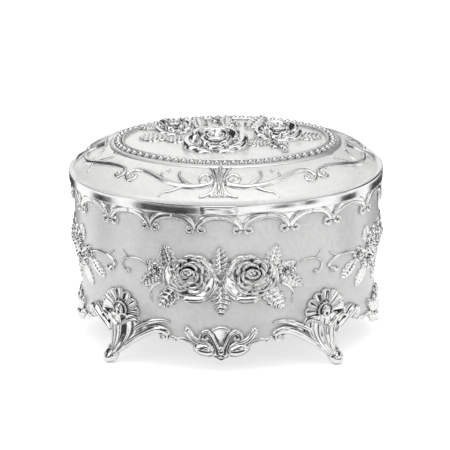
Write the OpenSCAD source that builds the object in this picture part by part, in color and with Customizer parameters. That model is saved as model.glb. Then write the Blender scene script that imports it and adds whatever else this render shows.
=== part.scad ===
// Oval footed keepsake box with a hinged domed lid and applied rose ornament.
// Millimetres, +Z up, origin on the table under the middle of the box, front towards -Y.

/* [Lid] */
// Length of the lid over its rim
lid_len = 120; // [100:1:150]
// Width of the lid over its rim
lid_wid = 94; // [80:1:120]
// Height of the polished rim band
rim_h = 3.9; // [3.6:0.1:6]
// Step from the rim's face in to the enamelled dome
rim_step = 0.8; // [0.4:0.1:1.2]
// Rise of the dome above the rim band
dome_rise = 9.3; // [7:0.1:14]
// Thickness of the dome casting
dome_t = 1.6; // [1.2:0.1:2.4]
// Width of the thumb tab on the rim
tab_w = 14; // [8:1:24]
// How far the thumb tab stands out of the rim
tab_out = 0.6; // [0.4:0.1:1]

/* [Medallion] */
// Distance from the lid's edge in to the oval moulding round the medallion
ring_in = 15.8; // [14:0.1:17]
// Breadth of the moulding itself
ring_band = 5.8; // [4.6:0.1:7]
// Height of the moulding
ring_h = 1.3; // [1:0.1:2]
// Diameter of one bead
bead_d = 2.7; // [2:0.1:2.9]
// Number of beads
bead_count = 70; // [50:1:72]
// Height of the enamelled plate inside the moulding
plate_h = 0.9; // [0.6:0.1:1.4]
// Radius of the centre rose
centre_rose_r = 11.5; // [8:0.5:12]
// Height of the centre rose
centre_rose_h = 6; // [4:0.5:8]
// Radius of the left rose
left_rose_r = 6.4; // [4:0.2:7]
// Radius of the right rose
right_rose_r = 8; // [5:0.5:9]
// Height of the two smaller roses
side_rose_h = 4; // [3:0.5:6]

/* [Body] */
// How far the lid's rim stands out over the wall
lid_over = 1.7; // [1.4:0.1:2.4]
// Height of the lid's lower edge above the table
lid_z = 63.2; // [58:0.2:90]
// How much the wall draws in at the waist, on each side
waist_in = 2.1; // [0.5:0.1:4]
// Height of the waist
waist_z = 18.5; // [17:0.5:20]
// Height at which the wall starts to draw in
shoulder_z = 50.5; // [50.5:0.5:54]
// Thickness of the wall
wall_t = 1.8; // [1.4:0.1:2.6]
// Height of the wall's straight lower edge, between feet and drops
apron_z = 12.4; // [10:0.2:13.5]
// Height of the lowest tip of the apron's drops
drop_z = 4.8; // [3:0.2:7]
// Height of the floor's upper face
floor_z = 16.6; // [16:0.2:18]
// Thickness of the floor plate
floor_t = 1.6; // [1:0.1:2]

/* [Ornament] */
// Relief of leaves, stems and outer petals
relief_low = 1.2; // [0.8:0.1:1.4]
// Relief of the roses' inner petals
relief_mid = 1.8; // [1.6:0.1:2]
// Relief of the rose buds, which reach about as far as the lid's rim
relief_high = 2.4; // [2.2:0.1:2.8]
// Radius of a rose on the wall
rose_r = 9.4; // [7:0.2:10]
// Height of the wall roses' middles above the table
rose_z = 39; // [37:0.5:41]
// Distance between the two roses of a long side
rose_gap = 24.4; // [20:0.2:26]
// Distance from one scallop to the next
scallop_pitch = 17.5; // [16.5:0.1:18]
// Number of scallops on each side of the front one
scallop_side = 8; // [6:1:8]
// Drop of a scallop from the lid's edge to its scrolls
scallop_drop = 5.8; // [5:0.2:6.4]
// Relief of the scallops
scallop_out = 1.1; // [0.7:0.1:1.4]

/* [Feet] */
// Distance from the middle of a long side to a foot, measured on the wall
foot_run = 40.6; // [38:0.2:44]
// Diameter of the ball
ball_d = 5.8; // [5:0.1:7]
// How far the ball's middle stands out from the wall
foot_splay = 3.6; // [2:0.2:5]
// How far the ball sits towards the end of the box from the shell above it
foot_sway = 2.2; // [0:0.2:4]
// Depth of the flat under the ball
ball_flat = 0.3; // [0.2:0.05:0.6]
// Radius of the shell above the leg
shell_r = 9.2; // [7:0.2:10]

/* [Hinge] */
// Width of the hinge
hinge_w = 20; // [14:1:24]
// Outer diameter of the knuckles
knuckle_d = 3; // [2.6:0.1:3.2]
// Diameter of the hinge pin
pin_d = 1.5; // [1.2:0.1:1.7]
// Width of the lid's knuckle, between the body's two
lid_knuckle_w = 6.2; // [5:0.2:8]
// Height of the body leaf
leaf_h = 9; // [7:0.5:12]
// Thickness of both leaves
leaf_t = 0.8; // [0.6:0.1:0.9]
// Diameter of the rivet heads
rivet_d = 1.8; // [1.4:0.1:2.2]

/* [Lining] */
// Thickness of the velvet on the wall and under the lid
velvet_t = 1; // [0.6:0.1:1.4]
// Height of the floor cushion
pad_h = 3; // [2:0.1:5]

/* [Fits] */
// Gap between ornament and the face that carries it
seat_gap = 0.05; // [0.02:0.01:0.1]
// Gap between velvet and metal
lining_gap = 0.1; // [0.05:0.05:0.3]
// Gap between the wall's top edge and the lid's shelf
lid_gap = 0.15; // [0.1:0.05:0.3]
// Gap all round between the wall and the lid's band
band_gap = 0.4; // [0.3:0.05:0.6]
// Running gap round the pin in the lid's knuckle
pin_run = 0.05; // [0.03:0.01:0.08]
// Gap between knuckles, and round them
knuckle_gap = 0.2; // [0.15:0.05:0.3]

/* [Hidden] */
$fn = 96;

// How far the solids that cut others reach past them
past = 1;
// Breadth of the ledge inside the wall that the floor plate lies on
ledge_w = 0.8;
// How far the wall's top edge stands up inside the lid's band
lip = 0.6;
// Breadth of the lid's shelf that rests on the wall
shelf_w = 2.2;
// Flare of the wall below the waist
skirt_out = 0.4;

// Height of the wall's lower edge behind the feet
corner_z = 9.5;
// Steps of the wall's lower edge, beside a drop and next to a foot
edge_step = 1.3;
// Half breadth of a middle drop on the wall's edge
drop_half = 12.5;
// Height of the drop's shoulders above its tip
lobe_z = 3.3;
// Reach of the cuts past a foot's middle, and short of it on a long side
foot_reach = 5.4;
// How far one tier of relief sinks into the tier below it
tier_sink = 0.3;

rim_top = lid_z + rim_h;
deck_z = rim_top + dome_rise;
wall_top = lid_z + lip;

// The oval is four arcs that meet where a 3-4-5 triangle puts the joint, and every contour
// of the box runs parallel to the lid's edge. Offsets from that edge are negative inwards.
joint = [0.6, -0.8];
arc_step = (lid_len - lid_wid) / (2 * (2 * joint[0] + joint[1]));
end_r = lid_len / 2 - arc_step * joint[0];
end_x = arc_step * joint[0];
side_r = end_r + arc_step;
side_y = -arc_step * joint[1];
meet = atan(end_x / side_y);
wall_in = -lid_over;
waist = wall_in - waist_in;
ring_edge = -ring_in;

// The hinge's axis stays within the reach of the thumb tab in front
hinge_y = lid_wid / 2 + tab_out - knuckle_d / 2;
hinge_z = lid_z - knuckle_gap - knuckle_d / 2;
// Flat seats of the two leaves
body_seat_y = lid_wid / 2 + wall_in + seat_gap;
lid_seat_y = hinge_y + 0.1;

// Length of the wedges that cut arcs out of full turns
far = 2 * lid_len;

// A profile of offsets and heights; points marked far inwards end on the turning axis
module profile(points) polygon([for (p = points) [max(0, $hub + p[0]), p[1]]]);

// The children's profile is turned about an arc's centre. $hub is the arc's radius.
module front_arc() {
  $hub = side_r;
  translate([0, side_y, 0]) intersection() {
    rotate_extrude() children();
    linear_extrude(far) polygon([[0, 0], far * joint, far * [-joint[0], joint[1]]]);
  }
}

module end_arc() {
  $hub = end_r;
  translate([end_x, 0, 0]) intersection() {
    rotate_extrude() children();
    linear_extrude(far) polygon([[0, 0], far * joint, far * [joint[0], -joint[1]]]);
  }
}

module swept() {
  front_arc() children();
  rotate(180) front_arc() children();
  end_arc() children();
  rotate(180) end_arc() children();
}

// Length of half a front arc and of an end arc on a contour
function front_half(g) = (side_r + g) * meet * PI / 180;
function end_whole(g) = (end_r + g) * (180 - 2 * meet) * PI / 180;
function oval_length(g) = 4 * front_half(g) + 2 * end_whole(g);

// Where a foot stands on the wall
foot_at = oval_at(foot_run, waist + skirt_out);

// Half length and half breadth of the medallion, which its ornament is spread over
plate_x = lid_len / 2 + ring_edge - ring_band;
plate_y = lid_wid / 2 + ring_edge - ring_band;

// Place and facing on a contour, s along it from the middle of the front towards +X
function oval_at(s, g) =
  let (q = front_half(g), e = end_whole(g), fr = side_r + g, er = end_r + g)
  s < 0 ? let (m = oval_at(-s, g)) [-m[0], m[1], -m[2]]
  : s <= q ? let (a = s / fr * 180 / PI) [fr * sin(a), side_y - fr * cos(a), a]
  : s <= q + e ? let (a = meet + (s - q) / er * 180 / PI) [end_x + er * sin(a), -er * cos(a), a]
  : let (a = 180 - meet + (s - q - e) / fr * 180 / PI) [fr * sin(a), -side_y - fr * cos(a), a];

// Stands children on a contour, +Y pointing in and -Y out
module on_oval(s, g) {
  p = oval_at(s, g);
  translate([p[0], p[1], 0]) rotate(p[2]) children();
}

// Smooth path through hand-chosen points, with a few steps between neighbours
function mix4(a, b, c, d, t) = 0.5 * (2 * b + (c - a) * t
  + (2 * a - 5 * b + 4 * c - d) * t * t + (3 * b - a - 3 * c + d) * t * t * t);
function at(p, i) = p[max(0, min(len(p) - 1, i))];
function smooth(p, steps = 3) = concat([for (i = [0 : len(p) - 2], s = [0 : steps - 1])
  mix4(at(p, i - 1), p[i], p[i + 1], at(p, i + 2), s / steps)], [p[len(p) - 1]]);
function along(p, i) = let (d = at(p, i + 1) - at(p, i - 1)) d / norm(d);
function side(p, i, w) = let (d = along(p, i)) p[i] + [-d[1], d[0]] * w / 2;

// Flat band along a path, w0 broad at its start and w1 at its end
module ribbon(path, w0, w1) {
  p = smooth(path);
  n = len(p) - 1;
  left = [for (i = [0 : n]) side(p, i, w0 + (w1 - w0) * i / n)];
  right = [for (i = [n : -1 : 0]) side(p, i, -(w0 + (w1 - w0) * i / n))];
  polygon(concat(left, right));
}

// Pointed leaf from the origin along +Y
module leaf(long, broad) {
  r = (long * long + broad * broad) / (4 * broad);
  translate([0, long / 2]) intersection() {
    translate([r - broad / 2, 0]) circle(r = r);
    translate([broad / 2 - r, 0]) circle(r = r);
  }
}

// Ring of round petals about the origin, overlapping in the middle
module petals(count, reach, petal_r, turn = 0) {
  circle(r = reach);
  for (i = [0 : count - 1]) rotate(turn + 360 * i / count) translate([reach, 0]) circle(r = petal_r);
}

module both_sides() {
  children();
  mirror([1, 0]) children();
}

// Solid oval slab out to a contour
module oval(g, z0, z1) {
  swept() profile([[-far, z0], [g, z0], [g, z1], [-far, z1]]);
}

// The wall's outer line, grown by g, from the height z0 up
function wall_line(g, z0 = 0) = [
  [waist + skirt_out * (1 - z0 / waist_z) + g, z0], [waist + g, waist_z], [wall_in + g, shoulder_z],
  [wall_in + g, wall_top]
];
function back(p) = [for (i = [len(p) - 1 : -1 : 0]) p[i]];

module wall_form(g) {
  swept() profile(concat([[-far, 0]], wall_line(g), [[-far, wall_top]]));
}

// Skin on the wall between two reliefs, which ornament is cut from
module skin_line(low, high) profile(concat(wall_line(low), back(wall_line(high))));

// Turns a flat drawing in X and height outwards through the wall at the front
module through_front() {
  rotate([90, 0, 0]) linear_extrude(lid_len) children();
}

module on_front(low, high) {
  intersection() {
    front_arc() skin_line(low, high);
    through_front() children();
  }
}

module on_end(low, high) {
  intersection() {
    swept() skin_line(low, high);
    rotate(90) through_front() children();
  }
}

// What is cut away under a side: half reaches the foot, drop_half the middle drop
module apron_cut(corner, half) {
  room = half - drop_half;
  edge = [
    [corner, -past], [corner, corner_z], [half, corner_z], [half - room * 0.2, apron_z + edge_step],
    [drop_half + room * 0.25, apron_z], [drop_half, apron_z - edge_step],
    [drop_half * 0.76, drop_z + lobe_z], [drop_half * 0.32, drop_z + lobe_z], [0, drop_z + past]
  ];
  polygon(concat(edge, [for (i = [len(edge) - 2 : -1 : 0]) [-edge[i][0], edge[i][1]]]));
}

module body_shell() color("gainsboro") {
  inner = waist - wall_t;
  difference() {
    union() {
      swept() profile(concat(wall_line(0, drop_z), [
        [wall_in - wall_t, wall_top], [wall_in - wall_t, shoulder_z], [inner, waist_z],
        [inner, floor_z - floor_t], [inner - ledge_w, floor_z - floor_t], [inner - ledge_w, drop_z]
      ]));
      // Flat seat for the hinge leaf
      translate([-hinge_w / 2, lid_wid / 2 + wall_in - wall_t / 2, hinge_z - leaf_h])
        cube([hinge_w, seat_gap + wall_t / 2, leaf_h - knuckle_d / 2 - knuckle_gap]);
    }
    for (turn = [0, 180]) rotate(turn) through_front()
      apron_cut(foot_at[0] + foot_reach, foot_at[0] - foot_reach);
    for (turn = [90, 270]) rotate(turn) through_front()
      apron_cut(-foot_at[1] + foot_reach, -foot_at[1] - 2 * foot_reach);
    rivet_holes_body();
    // Groove that the knuckles turn in
    translate([-hinge_w / 2 - knuckle_gap, hinge_y, hinge_z]) rotate([0, 90, 0])
      cylinder(d = knuckle_d + 2 * knuckle_gap, h = hinge_w + 2 * knuckle_gap);
  }
}

module floor_plate() color("silver")
  oval(waist - wall_t - seat_gap, floor_z - floor_t + seat_gap, floor_z);

// One scallop, a low arch with a scroll at each end, drawn with its foot line at y = 0
module scallop(half) {
  roll = 1.5;
  band = 1.3;
  top = scallop_drop - band / 2 - knuckle_gap;
  both_sides() {
    ribbon([[0, top], [half * 0.55, top - 0.5], [half * 0.88, top * 0.6], [half - roll, 0.2]], band, 1.1);
    translate([half - roll - 0.2, 0]) circle(r = roll);
  }
}

// The border stops short of the hinge at the back
module scallop_border() color("whitesmoke") {
  half = (scallop_pitch - knuckle_gap) / 2;
  intersection() {
    swept() skin_line(seat_gap, scallop_out);
    for (i = [-scallop_side : scallop_side]) on_oval(i * scallop_pitch, wall_in)
      translate([0, 3, lid_z - scallop_drop]) rotate([90, 0, 0]) linear_extrude(6) scallop(half);
  }
}

// Leaves, stems and outer petals of a long side's spray
module long_spray_low() {
  both_sides() {
    translate([rose_gap / 2, rose_z]) petals(5, rose_r * 0.6, rose_r * 0.42, 90);
    translate([rose_gap, rose_z + 0.4]) petals(5, 1.8, 1.4, 90);
    translate([rose_gap * 0.66, rose_z + 4]) rotate(-32) leaf(11.5, 5);
    translate([rose_gap * 0.66, rose_z - 7]) rotate(-136) leaf(11.5, 6);
    translate([rose_gap + 0.6, rose_z - 2]) rotate(-140) leaf(7.5, 3.6);
    translate([rose_gap, rose_z]) {
      ribbon([[1.6, 2], [5.6, 3.4], [9.6, 3.2], [11.6, 1], [10.9, -1.8]], 1.1, 0.8);
      ribbon([[8.6, 3.4], [10.4, 4.8], [12, 7]], 1, 0.5);
      translate([10.8, -2.2]) circle(r = 1.3);
      ribbon([[0.6, -3], [2.6, -7], [2, -11.5]], 1.2, 0.6);
    }
  }
  translate([0, rose_z + 1]) leaf(10, 5);
  translate([0, rose_z - 4]) rotate(180) leaf(11.5, 6.5);
}

module long_spray_mid() {
  both_sides() {
    translate([rose_gap / 2, rose_z + 0.6]) petals(4, rose_r * 0.4, rose_r * 0.3, 45);
    translate([rose_gap, rose_z + 0.4]) circle(r = 1.2);
  }
}

module long_spray_high() {
  both_sides() translate([rose_gap / 2, rose_z + 1]) circle(r = rose_r * 0.34);
}

module long_spray() {
  on_front(seat_gap, relief_low) long_spray_low();
  on_front(relief_low - tier_sink, relief_mid) long_spray_mid();
  on_front(relief_mid - tier_sink, relief_high) long_spray_high();
}

module front_rose_spray() color("whitesmoke") long_spray();
module back_rose_spray() color("whitesmoke") rotate(180) long_spray();

// A short side's spray has one rose, with an open blossom at each side
module end_spray() {
  on_end(seat_gap, relief_low) translate([0, rose_z]) {
    petals(5, rose_r * 0.6, rose_r * 0.42, 90);
    both_sides() translate([rose_r, 0]) {
      translate([rose_r * 0.25, -5.6]) petals(5, 2.6, 2.2, 20);
      translate([10.4, 0.2]) petals(5, 1.8, 1.4, 90);
      translate([-0.4, 3]) rotate(-62) leaf(8, 4.2);
      translate([5.6, -9]) rotate(172) leaf(7, 3.8);
      translate([10.6, -2.6]) rotate(-130) leaf(6, 3);
      ribbon([[11.6, 1.2], [15.6, 2.4], [19.2, 1.4], [20.2, -1.6]], 1.1, 0.8);
      ribbon([[18, 2], [19.6, 3.6], [21, 5.6]], 1, 0.5);
      translate([20.1, -2]) circle(r = 1.2);
    }
  }
  on_end(relief_low - tier_sink, relief_mid) translate([0, rose_z]) {
    translate([0, 0.6]) petals(4, rose_r * 0.4, rose_r * 0.3, 45);
    both_sides() {
      translate([rose_r * 1.25, -5.6]) circle(r = 1.8);
      translate([rose_r + 10.4, 0.2]) circle(r = 1.2);
    }
  }
  on_end(relief_mid - tier_sink, relief_high) translate([0, rose_z + 1]) circle(r = rose_r * 0.34);
}

module right_rose_spray() color("whitesmoke") end_spray();
module left_rose_spray() color("whitesmoke") rotate(180) end_spray();

// Drop ornament under the middle of a side: a fan, two scrolled arms, lobes and a tip
module cartouche_low() {
  arm = 12.8;
  translate([0, drop_z]) {
    translate([0, 12.5]) petals(5, 2, 1.4, 90);
    ribbon([[0, 13], [0, 7], [0, 0]], 4, 1.6);
    both_sides() {
      ribbon([[4.9, 9.6], [3.4, 11], [4.9, 12.4], [7, 11], [6.8, 8.2], [3.4, 5]], 1.1, 1.6);
      ribbon([[3.4, 6], [arm * 0.6, 7.4], [arm * 0.86, 9.6], [arm, 12.4]], 2.2, 2);
      translate([arm, 12.4]) circle(r = 1.2);
      translate([arm * 0.52, 4.4]) circle(r = 2.3);
      translate([arm * 0.7, 5]) circle(r = 1.8);
    }
  }
}

module cartouche_mid() translate([0, drop_z]) {
  translate([0, 12.5]) circle(r = 1.8);
  both_sides() translate([4.9, 9.6]) circle(r = 1.3);
}

module long_cartouche() {
  on_front(seat_gap, relief_low) cartouche_low();
  on_front(relief_low - tier_sink, relief_mid) cartouche_mid();
}

module end_cartouche() {
  on_end(seat_gap, relief_low) cartouche_low();
  on_end(relief_low - tier_sink, relief_mid) cartouche_mid();
}

module front_cartouche() color("whitesmoke") long_cartouche();
module back_cartouche() color("whitesmoke") rotate(180) long_cartouche();
module right_cartouche() color("whitesmoke") end_cartouche();
module left_cartouche() color("whitesmoke") rotate(180) end_cartouche();

module rotate_about(p, turn) translate(p) rotate(turn) translate(-p) children();

// A foot is drawn facing -Y: shell and side arms on the wall, leg, cabochon and ball
module foot_relief() {
  shell_z = waist_z + 1.5;
  translate([0, shell_z]) circle(r = shell_r * 0.62);
  for (i = [-3 : 3]) rotate_about([0, shell_z], i * 26)
    translate([0, shell_z + shell_r * 0.72]) circle(r = shell_r * 0.23);
  both_sides() {
    ribbon([[2, 9.5], [6, 10.5], [9.4, 13], [13, 15], [15.6, 14.2]], 2.4, 2);
    translate([15.2, 13]) circle(r = 2.1);
  }
}

module foot() {
  stand = waist + skirt_out;
  ball_z = ball_d / 2 - ball_flat;
  leg_top = waist_z + 1;
  lean = atan(foot_splay / (leg_top - ball_z));
  slant = atan(foot_sway / (leg_top - ball_z));
  difference() {
    union() {
      intersection() {
        swept() skin_line(seat_gap, relief_low + 0.6);
        on_oval(foot_run, stand) translate([0, 6, 0]) rotate([90, 0, 0]) linear_extrude(12) foot_relief();
      }
      difference() {
        on_oval(foot_run, stand) {
          // Leg, a tapered plate that leans out from the wall to the ball
          translate([foot_sway, -foot_splay, ball_z]) rotate([90 - lean, 0, 0]) rotate(slant)
            linear_extrude(3, center = true)
              polygon([[-2, 0], [2, 0], [shell_r * 0.7, leg_top], [-shell_r * 0.7, leg_top]]);
          translate([0, -1.4, waist_z + 1.8]) sphere(r = 2.5);
        }
        wall_form(seat_gap);
      }
      on_oval(foot_run, stand) translate([foot_sway, -foot_splay, ball_z]) sphere(d = ball_d);
    }
    translate([0, 0, -ball_d]) cube([lid_len * 2, lid_len * 2, 2 * ball_d], center = true);
  }
}

module front_right_foot() color("whitesmoke") foot();
module front_left_foot() color("whitesmoke") mirror([1, 0, 0]) foot();
module back_right_foot() color("whitesmoke") mirror([0, 1, 0]) foot();
module back_left_foot() color("whitesmoke") mirror([0, 1, 0]) mirror([1, 0, 0]) foot();

module wall_lining() color("crimson") {
  out_low = waist - wall_t - lining_gap;
  out_top = wall_in - wall_t - lining_gap;
  z0 = floor_z + lining_gap;
  z1 = wall_top - 1;
  swept() profile([
    [out_low, z0], [out_low, waist_z], [out_top, shoulder_z], [out_top, z1],
    [out_top - velvet_t, z1], [out_top - velvet_t, shoulder_z], [out_low - velvet_t, waist_z],
    [out_low - velvet_t, z0]
  ]);
}

module floor_cushion() color("crimson") {
  edge = waist - wall_t - 2 * lining_gap - velvet_t - 0.2;
  z = floor_z + lining_gap;
  swept() profile([
    [-far, z], [edge, z], [edge, z + pad_h * 0.5], [edge - 1.6, z + pad_h * 0.8],
    [edge - 8, z + pad_h], [-far, z + pad_h]
  ]);
}

// Rows of rivets: across and height
function body_rivets() = [for (x = [-1, 1], z = [0.3, 0.7])
  [x * hinge_w * 0.36, hinge_z - leaf_h + (leaf_h - knuckle_d / 2) * z]];
function lid_rivets() = [for (x = [-1, 1]) [x * hinge_w * 0.36, lid_z + rim_h * 0.55]];
shank_d = rivet_d * 0.5;

module rivet_holes_body() {
  for (p = body_rivets()) translate([p[0], body_seat_y - wall_t, p[1]])
    rotate([-90, 0, 0]) cylinder(d = shank_d + 2 * seat_gap, h = wall_t + past);
}

module rivet(head_h, shank) {
  cylinder(d = rivet_d, h = head_h);
  translate([0, 0, -shank]) cylinder(d = shank_d, h = shank + head_h / 2);
}

module body_leaf_rivets() color("silver")
  for (p = body_rivets()) translate([p[0], body_seat_y + leaf_t + seat_gap, p[1]])
    rotate([-90, 0, 0]) rivet(0.4, leaf_t + wall_t * 0.6);

module lid_leaf_rivets() color("silver")
  for (p = lid_rivets()) translate([p[0], lid_seat_y + leaf_t + seat_gap, p[1]])
    rotate([-90, 0, 0]) rivet(0.3, leaf_t + 0.3);

module knuckle(x0, x1) {
  translate([x0, hinge_y, hinge_z]) rotate([0, 90, 0]) cylinder(d = knuckle_d, h = x1 - x0);
}

module pin_bore(gap) {
  translate([-hinge_w / 2 - past, hinge_y, hinge_z]) rotate([0, 90, 0])
    cylinder(d = pin_d + 2 * gap, h = hinge_w + 2 * past);
}

module hinge_body_leaf() color("silver") {
  gap_half = lid_knuckle_w / 2 + knuckle_gap;
  difference() {
    union() {
      for (s = [0, 1]) mirror([s, 0, 0]) {
        knuckle(gap_half, hinge_w / 2);
        translate([gap_half, body_seat_y, hinge_z - leaf_h])
          cube([hinge_w / 2 - gap_half, leaf_t, leaf_h]);
      }
      translate([-hinge_w / 2, body_seat_y, hinge_z - leaf_h])
        cube([hinge_w, leaf_t, leaf_h - knuckle_d / 2 - 2 * knuckle_gap]);
    }
    pin_bore(0.02);
    for (p = body_rivets()) translate([p[0], body_seat_y - past, p[1]])
      rotate([-90, 0, 0]) cylinder(d = shank_d + 2 * seat_gap, h = leaf_t + 2 * past);
  }
}

module hinge_pin() color("gray") {
  translate([-hinge_w / 2, hinge_y, hinge_z]) rotate([0, 90, 0]) cylinder(d = pin_d, h = hinge_w);
}

module hinge_lid_leaf() color("silver") {
  half = lid_knuckle_w / 2;
  top = rim_top - 0.2;
  difference() {
    union() {
      knuckle(-half, half);
      translate([-half, lid_seat_y, hinge_z]) cube([lid_knuckle_w, leaf_t, top - hinge_z]);
      translate([-hinge_w / 2, lid_seat_y, lid_z + knuckle_gap])
        cube([hinge_w, leaf_t, top - lid_z - knuckle_gap]);
    }
    pin_bore(pin_run);
    for (p = lid_rivets()) translate([p[0], lid_seat_y - past, p[1]])
      rotate([-90, 0, 0]) cylinder(d = shank_d + 2 * seat_gap, h = leaf_t + 2 * past);
  }
}

// Polished band at the foot of the lid, with a shelf inside that rests on the wall
module lid_rim() color("whitesmoke") {
  band_in = wall_in + band_gap;
  shelf_in = band_in - shelf_w;
  shelf_z = wall_top + lid_gap;
  edge = 0.5;
  difference() {
    swept() profile([
      [band_in, lid_z], [-edge, lid_z], [0, lid_z + edge], [0, rim_top - edge], [-edge, rim_top],
      [shelf_in, rim_top], [shelf_in, shelf_z], [band_in, shelf_z]
    ]);
    // Flat seat for the hinge leaf
    translate([-hinge_w / 2 - knuckle_gap, lid_seat_y - seat_gap, lid_z - past])
      cube([hinge_w + 2 * knuckle_gap, 5, rim_h + 2 * past]);
    for (p = lid_rivets()) translate([p[0], lid_seat_y - 0.5, p[1]])
      rotate([-90, 0, 0]) cylinder(d = shank_d + 2 * seat_gap, h = 2 * past);
  }
}

module thumb_tab() color("whitesmoke") {
  intersection() {
    front_arc() profile([[seat_gap, lid_z - 0.1], [tab_out, lid_z - 0.1], [tab_out, rim_top - 0.1],
      [seat_gap, rim_top - 0.1]]);
    translate([-tab_w / 2, -lid_wid, lid_z - past]) cube([tab_w, lid_wid, rim_h + 2 * past]);
  }
}

// The dome's outer line, grown by g
function dome_line(g) = let (foot = -rim_step, deck = ring_edge + 0.1) [
  [foot + g, rim_top], [(foot + deck) / 2 + 0.5 + g, rim_top + dome_rise * 0.53 + g],
  [deck + g, deck_z + g]
];

module lid_dome() color("gainsboro") {
  foot = -rim_step - dome_t;
  deck = ring_edge - dome_t * 0.5;
  swept() profile(concat([[foot, rim_top]], dome_line(0), [
    [-far, deck_z], [-far, deck_z - dome_t], [deck, deck_z - dome_t]
  ]));
}

// Widths across the moulding: sloped edge, bead seat and inner lip
lip_w = 1.2;
seat_w = bead_d + 0.2;
slope_w = ring_band - lip_w - seat_w;
bead_seat_z = deck_z + ring_h * 0.46;
bead_line = ring_edge - slope_w - seat_w / 2;

module ring_moulding() color("whitesmoke") {
  groove = ring_edge - slope_w;
  lip_out = groove - seat_w;
  swept() profile([
    [ring_edge, deck_z], [groove + 0.4, deck_z + ring_h], [groove, deck_z + ring_h],
    [groove, bead_seat_z], [lip_out, bead_seat_z], [lip_out, deck_z + ring_h],
    [ring_edge - ring_band, deck_z + ring_h], [ring_edge - ring_band, deck_z]
  ]);
}

// Beads at equal steps round the oval, each cut flat where it sits
module ring_beads() color("whitesmoke") {
  total = oval_length(bead_line);
  for (i = [0 : bead_count - 1]) {
    s = total * (i + 0.5) / bead_count;
    on_oval(s > total / 2 ? s - total : s, bead_line) translate([0, 0, bead_seat_z + 0.02]) difference() {
      translate([0, 0, bead_d * 0.13]) sphere(d = bead_d);
      translate([0, 0, -bead_d]) cube(2 * bead_d, center = true);
    }
  }
}

plate_top = deck_z + plate_h;

module medallion_plate() color("gainsboro")
  oval(ring_edge - ring_band - seat_gap, deck_z, plate_top);

// Stands children on the medallion, across and back as shares of its half sizes
module on_plate(across, back) translate([across * plate_x, back * plate_y, plate_top]) children();

// A rose lying on the medallion: open petals, a second ring and a bud
module lying_rose(across, back, r, h) on_plate(across, back) {
  linear_extrude(h * 0.4) petals(5, r * 0.52, r * 0.47, 18);
  linear_extrude(h * 0.74) petals(3, r * 0.26, r * 0.34, 50);
  cylinder(r1 = r * 0.36, r2 = r * 0.2, h = h);
}

module centre_lid_rose() color("whitesmoke") lying_rose(-0.083, -0.291, centre_rose_r, centre_rose_h);
module left_lid_rose() color("whitesmoke") lying_rose(-0.536, 0.402, left_rose_r, side_rose_h);
module right_lid_rose() color("whitesmoke") lying_rose(0.521, 0.173, right_rose_r, side_rose_h);

module lid_leaves() color("whitesmoke") {
  h = 1.1;
  // Each leaf: base across and back, turn, length, breadth
  for (p = [[-0.531, 0.024, 86, 11, 5], [-0.422, -0.079, 118, 10, 4.6], [0.755, 0.118, -96, 8, 4.6],
      [0.26, 0.496, -28, 9, 5], [0.25, -0.433, -128, 9, 5], [-0.26, 0.551, 12, 7, 4.4]])
    on_plate(p[0], p[1]) rotate(p[2]) linear_extrude(h) leaf(p[3], p[4]);
}

module lid_flowers() color("whitesmoke") {
  for (p = [[0.526, -0.402], [0.078, 0.693]]) on_plate(p[0], p[1]) {
    linear_extrude(1) petals(5, 2.4, 1.7, 90);
    cylinder(r = 1.2, h = 1.8);
  }
}

// Stands a plan drawing up through the skin on the dome
module on_dome() {
  intersection() {
    swept() profile(concat(dome_line(seat_gap), back(dome_line(0.8))));
    translate([0, 0, rim_top - past]) linear_extrude(dome_rise + 3) children();
  }
}

// Plan of a long side's palmette and scrolls, measured from the moulding's outer edge
module long_scrolls() translate([0, -lid_wid / 2 - ring_edge]) {
  ribbon([[0, -3], [0, -5.6], [0, -8.4], [0, -12]], 7, 3);
  both_sides() {
    ribbon([[1.4, -6], [2.8, -9.6], [6.4, -11.8]], 1.6, 1);
    ribbon([[3.8, -7.9], [12.6, -8.1], [20.8, -4.7], [26.4, 0], [31, 2.8], [34.6, 2.2],
      [33.4, -0.2]], 1.4, 1);
    translate([33, 0.2]) circle(r = 1.2);
    ribbon([[11, -8], [14.2, -5.6], [14.8, -3.6]], 1.2, 0.6);
    ribbon([[17, -6.6], [20.8, -3.8], [21.4, -1.8]], 1.2, 0.6);
    ribbon([[15, -7.6], [19, -8.7], [22.6, -8.6]], 1.4, 0.6);
  }
}

// Plan of an end's palmette and scrolls, measured the same way
module end_scrolls() translate([0, -lid_len / 2 - ring_edge]) {
  ribbon([[0, -1.4], [0, -5], [0, -10]], 7, 3);
  both_sides() {
    ribbon([[2.6, -7.6], [9, -8.2], [14.6, -4.4], [19.2, 0.6], [22.6, 5.4], [25.6, 7],
      [27, 5.4]], 1.4, 1);
    translate([26.4, 5.3]) circle(r = 1.2);
    ribbon([[17.6, -1.8], [17.4, 0.6], [15.6, 1.8]], 1.2, 0.6);
    ribbon([[13, -5.8], [16.4, -5.6], [19, -4.2]], 1.4, 0.6);
  }
}

module front_lid_scrolls() color("whitesmoke") on_dome() long_scrolls();
module back_lid_scrolls() color("whitesmoke") on_dome() rotate(180) long_scrolls();
module right_lid_scrolls() color("whitesmoke") on_dome() rotate(90) end_scrolls();
module left_lid_scrolls() color("whitesmoke") on_dome() rotate(270) end_scrolls();

module lid_lining() color("crimson") {
  edge = ring_edge - dome_t * 0.5 - lining_gap - 0.3;
  z = deck_z - dome_t - lining_gap;
  swept() profile([
    [-far, z - velvet_t], [edge - 1, z - velvet_t], [edge, z - velvet_t * 0.6], [edge, z], [-far, z]
  ]);
}

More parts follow.
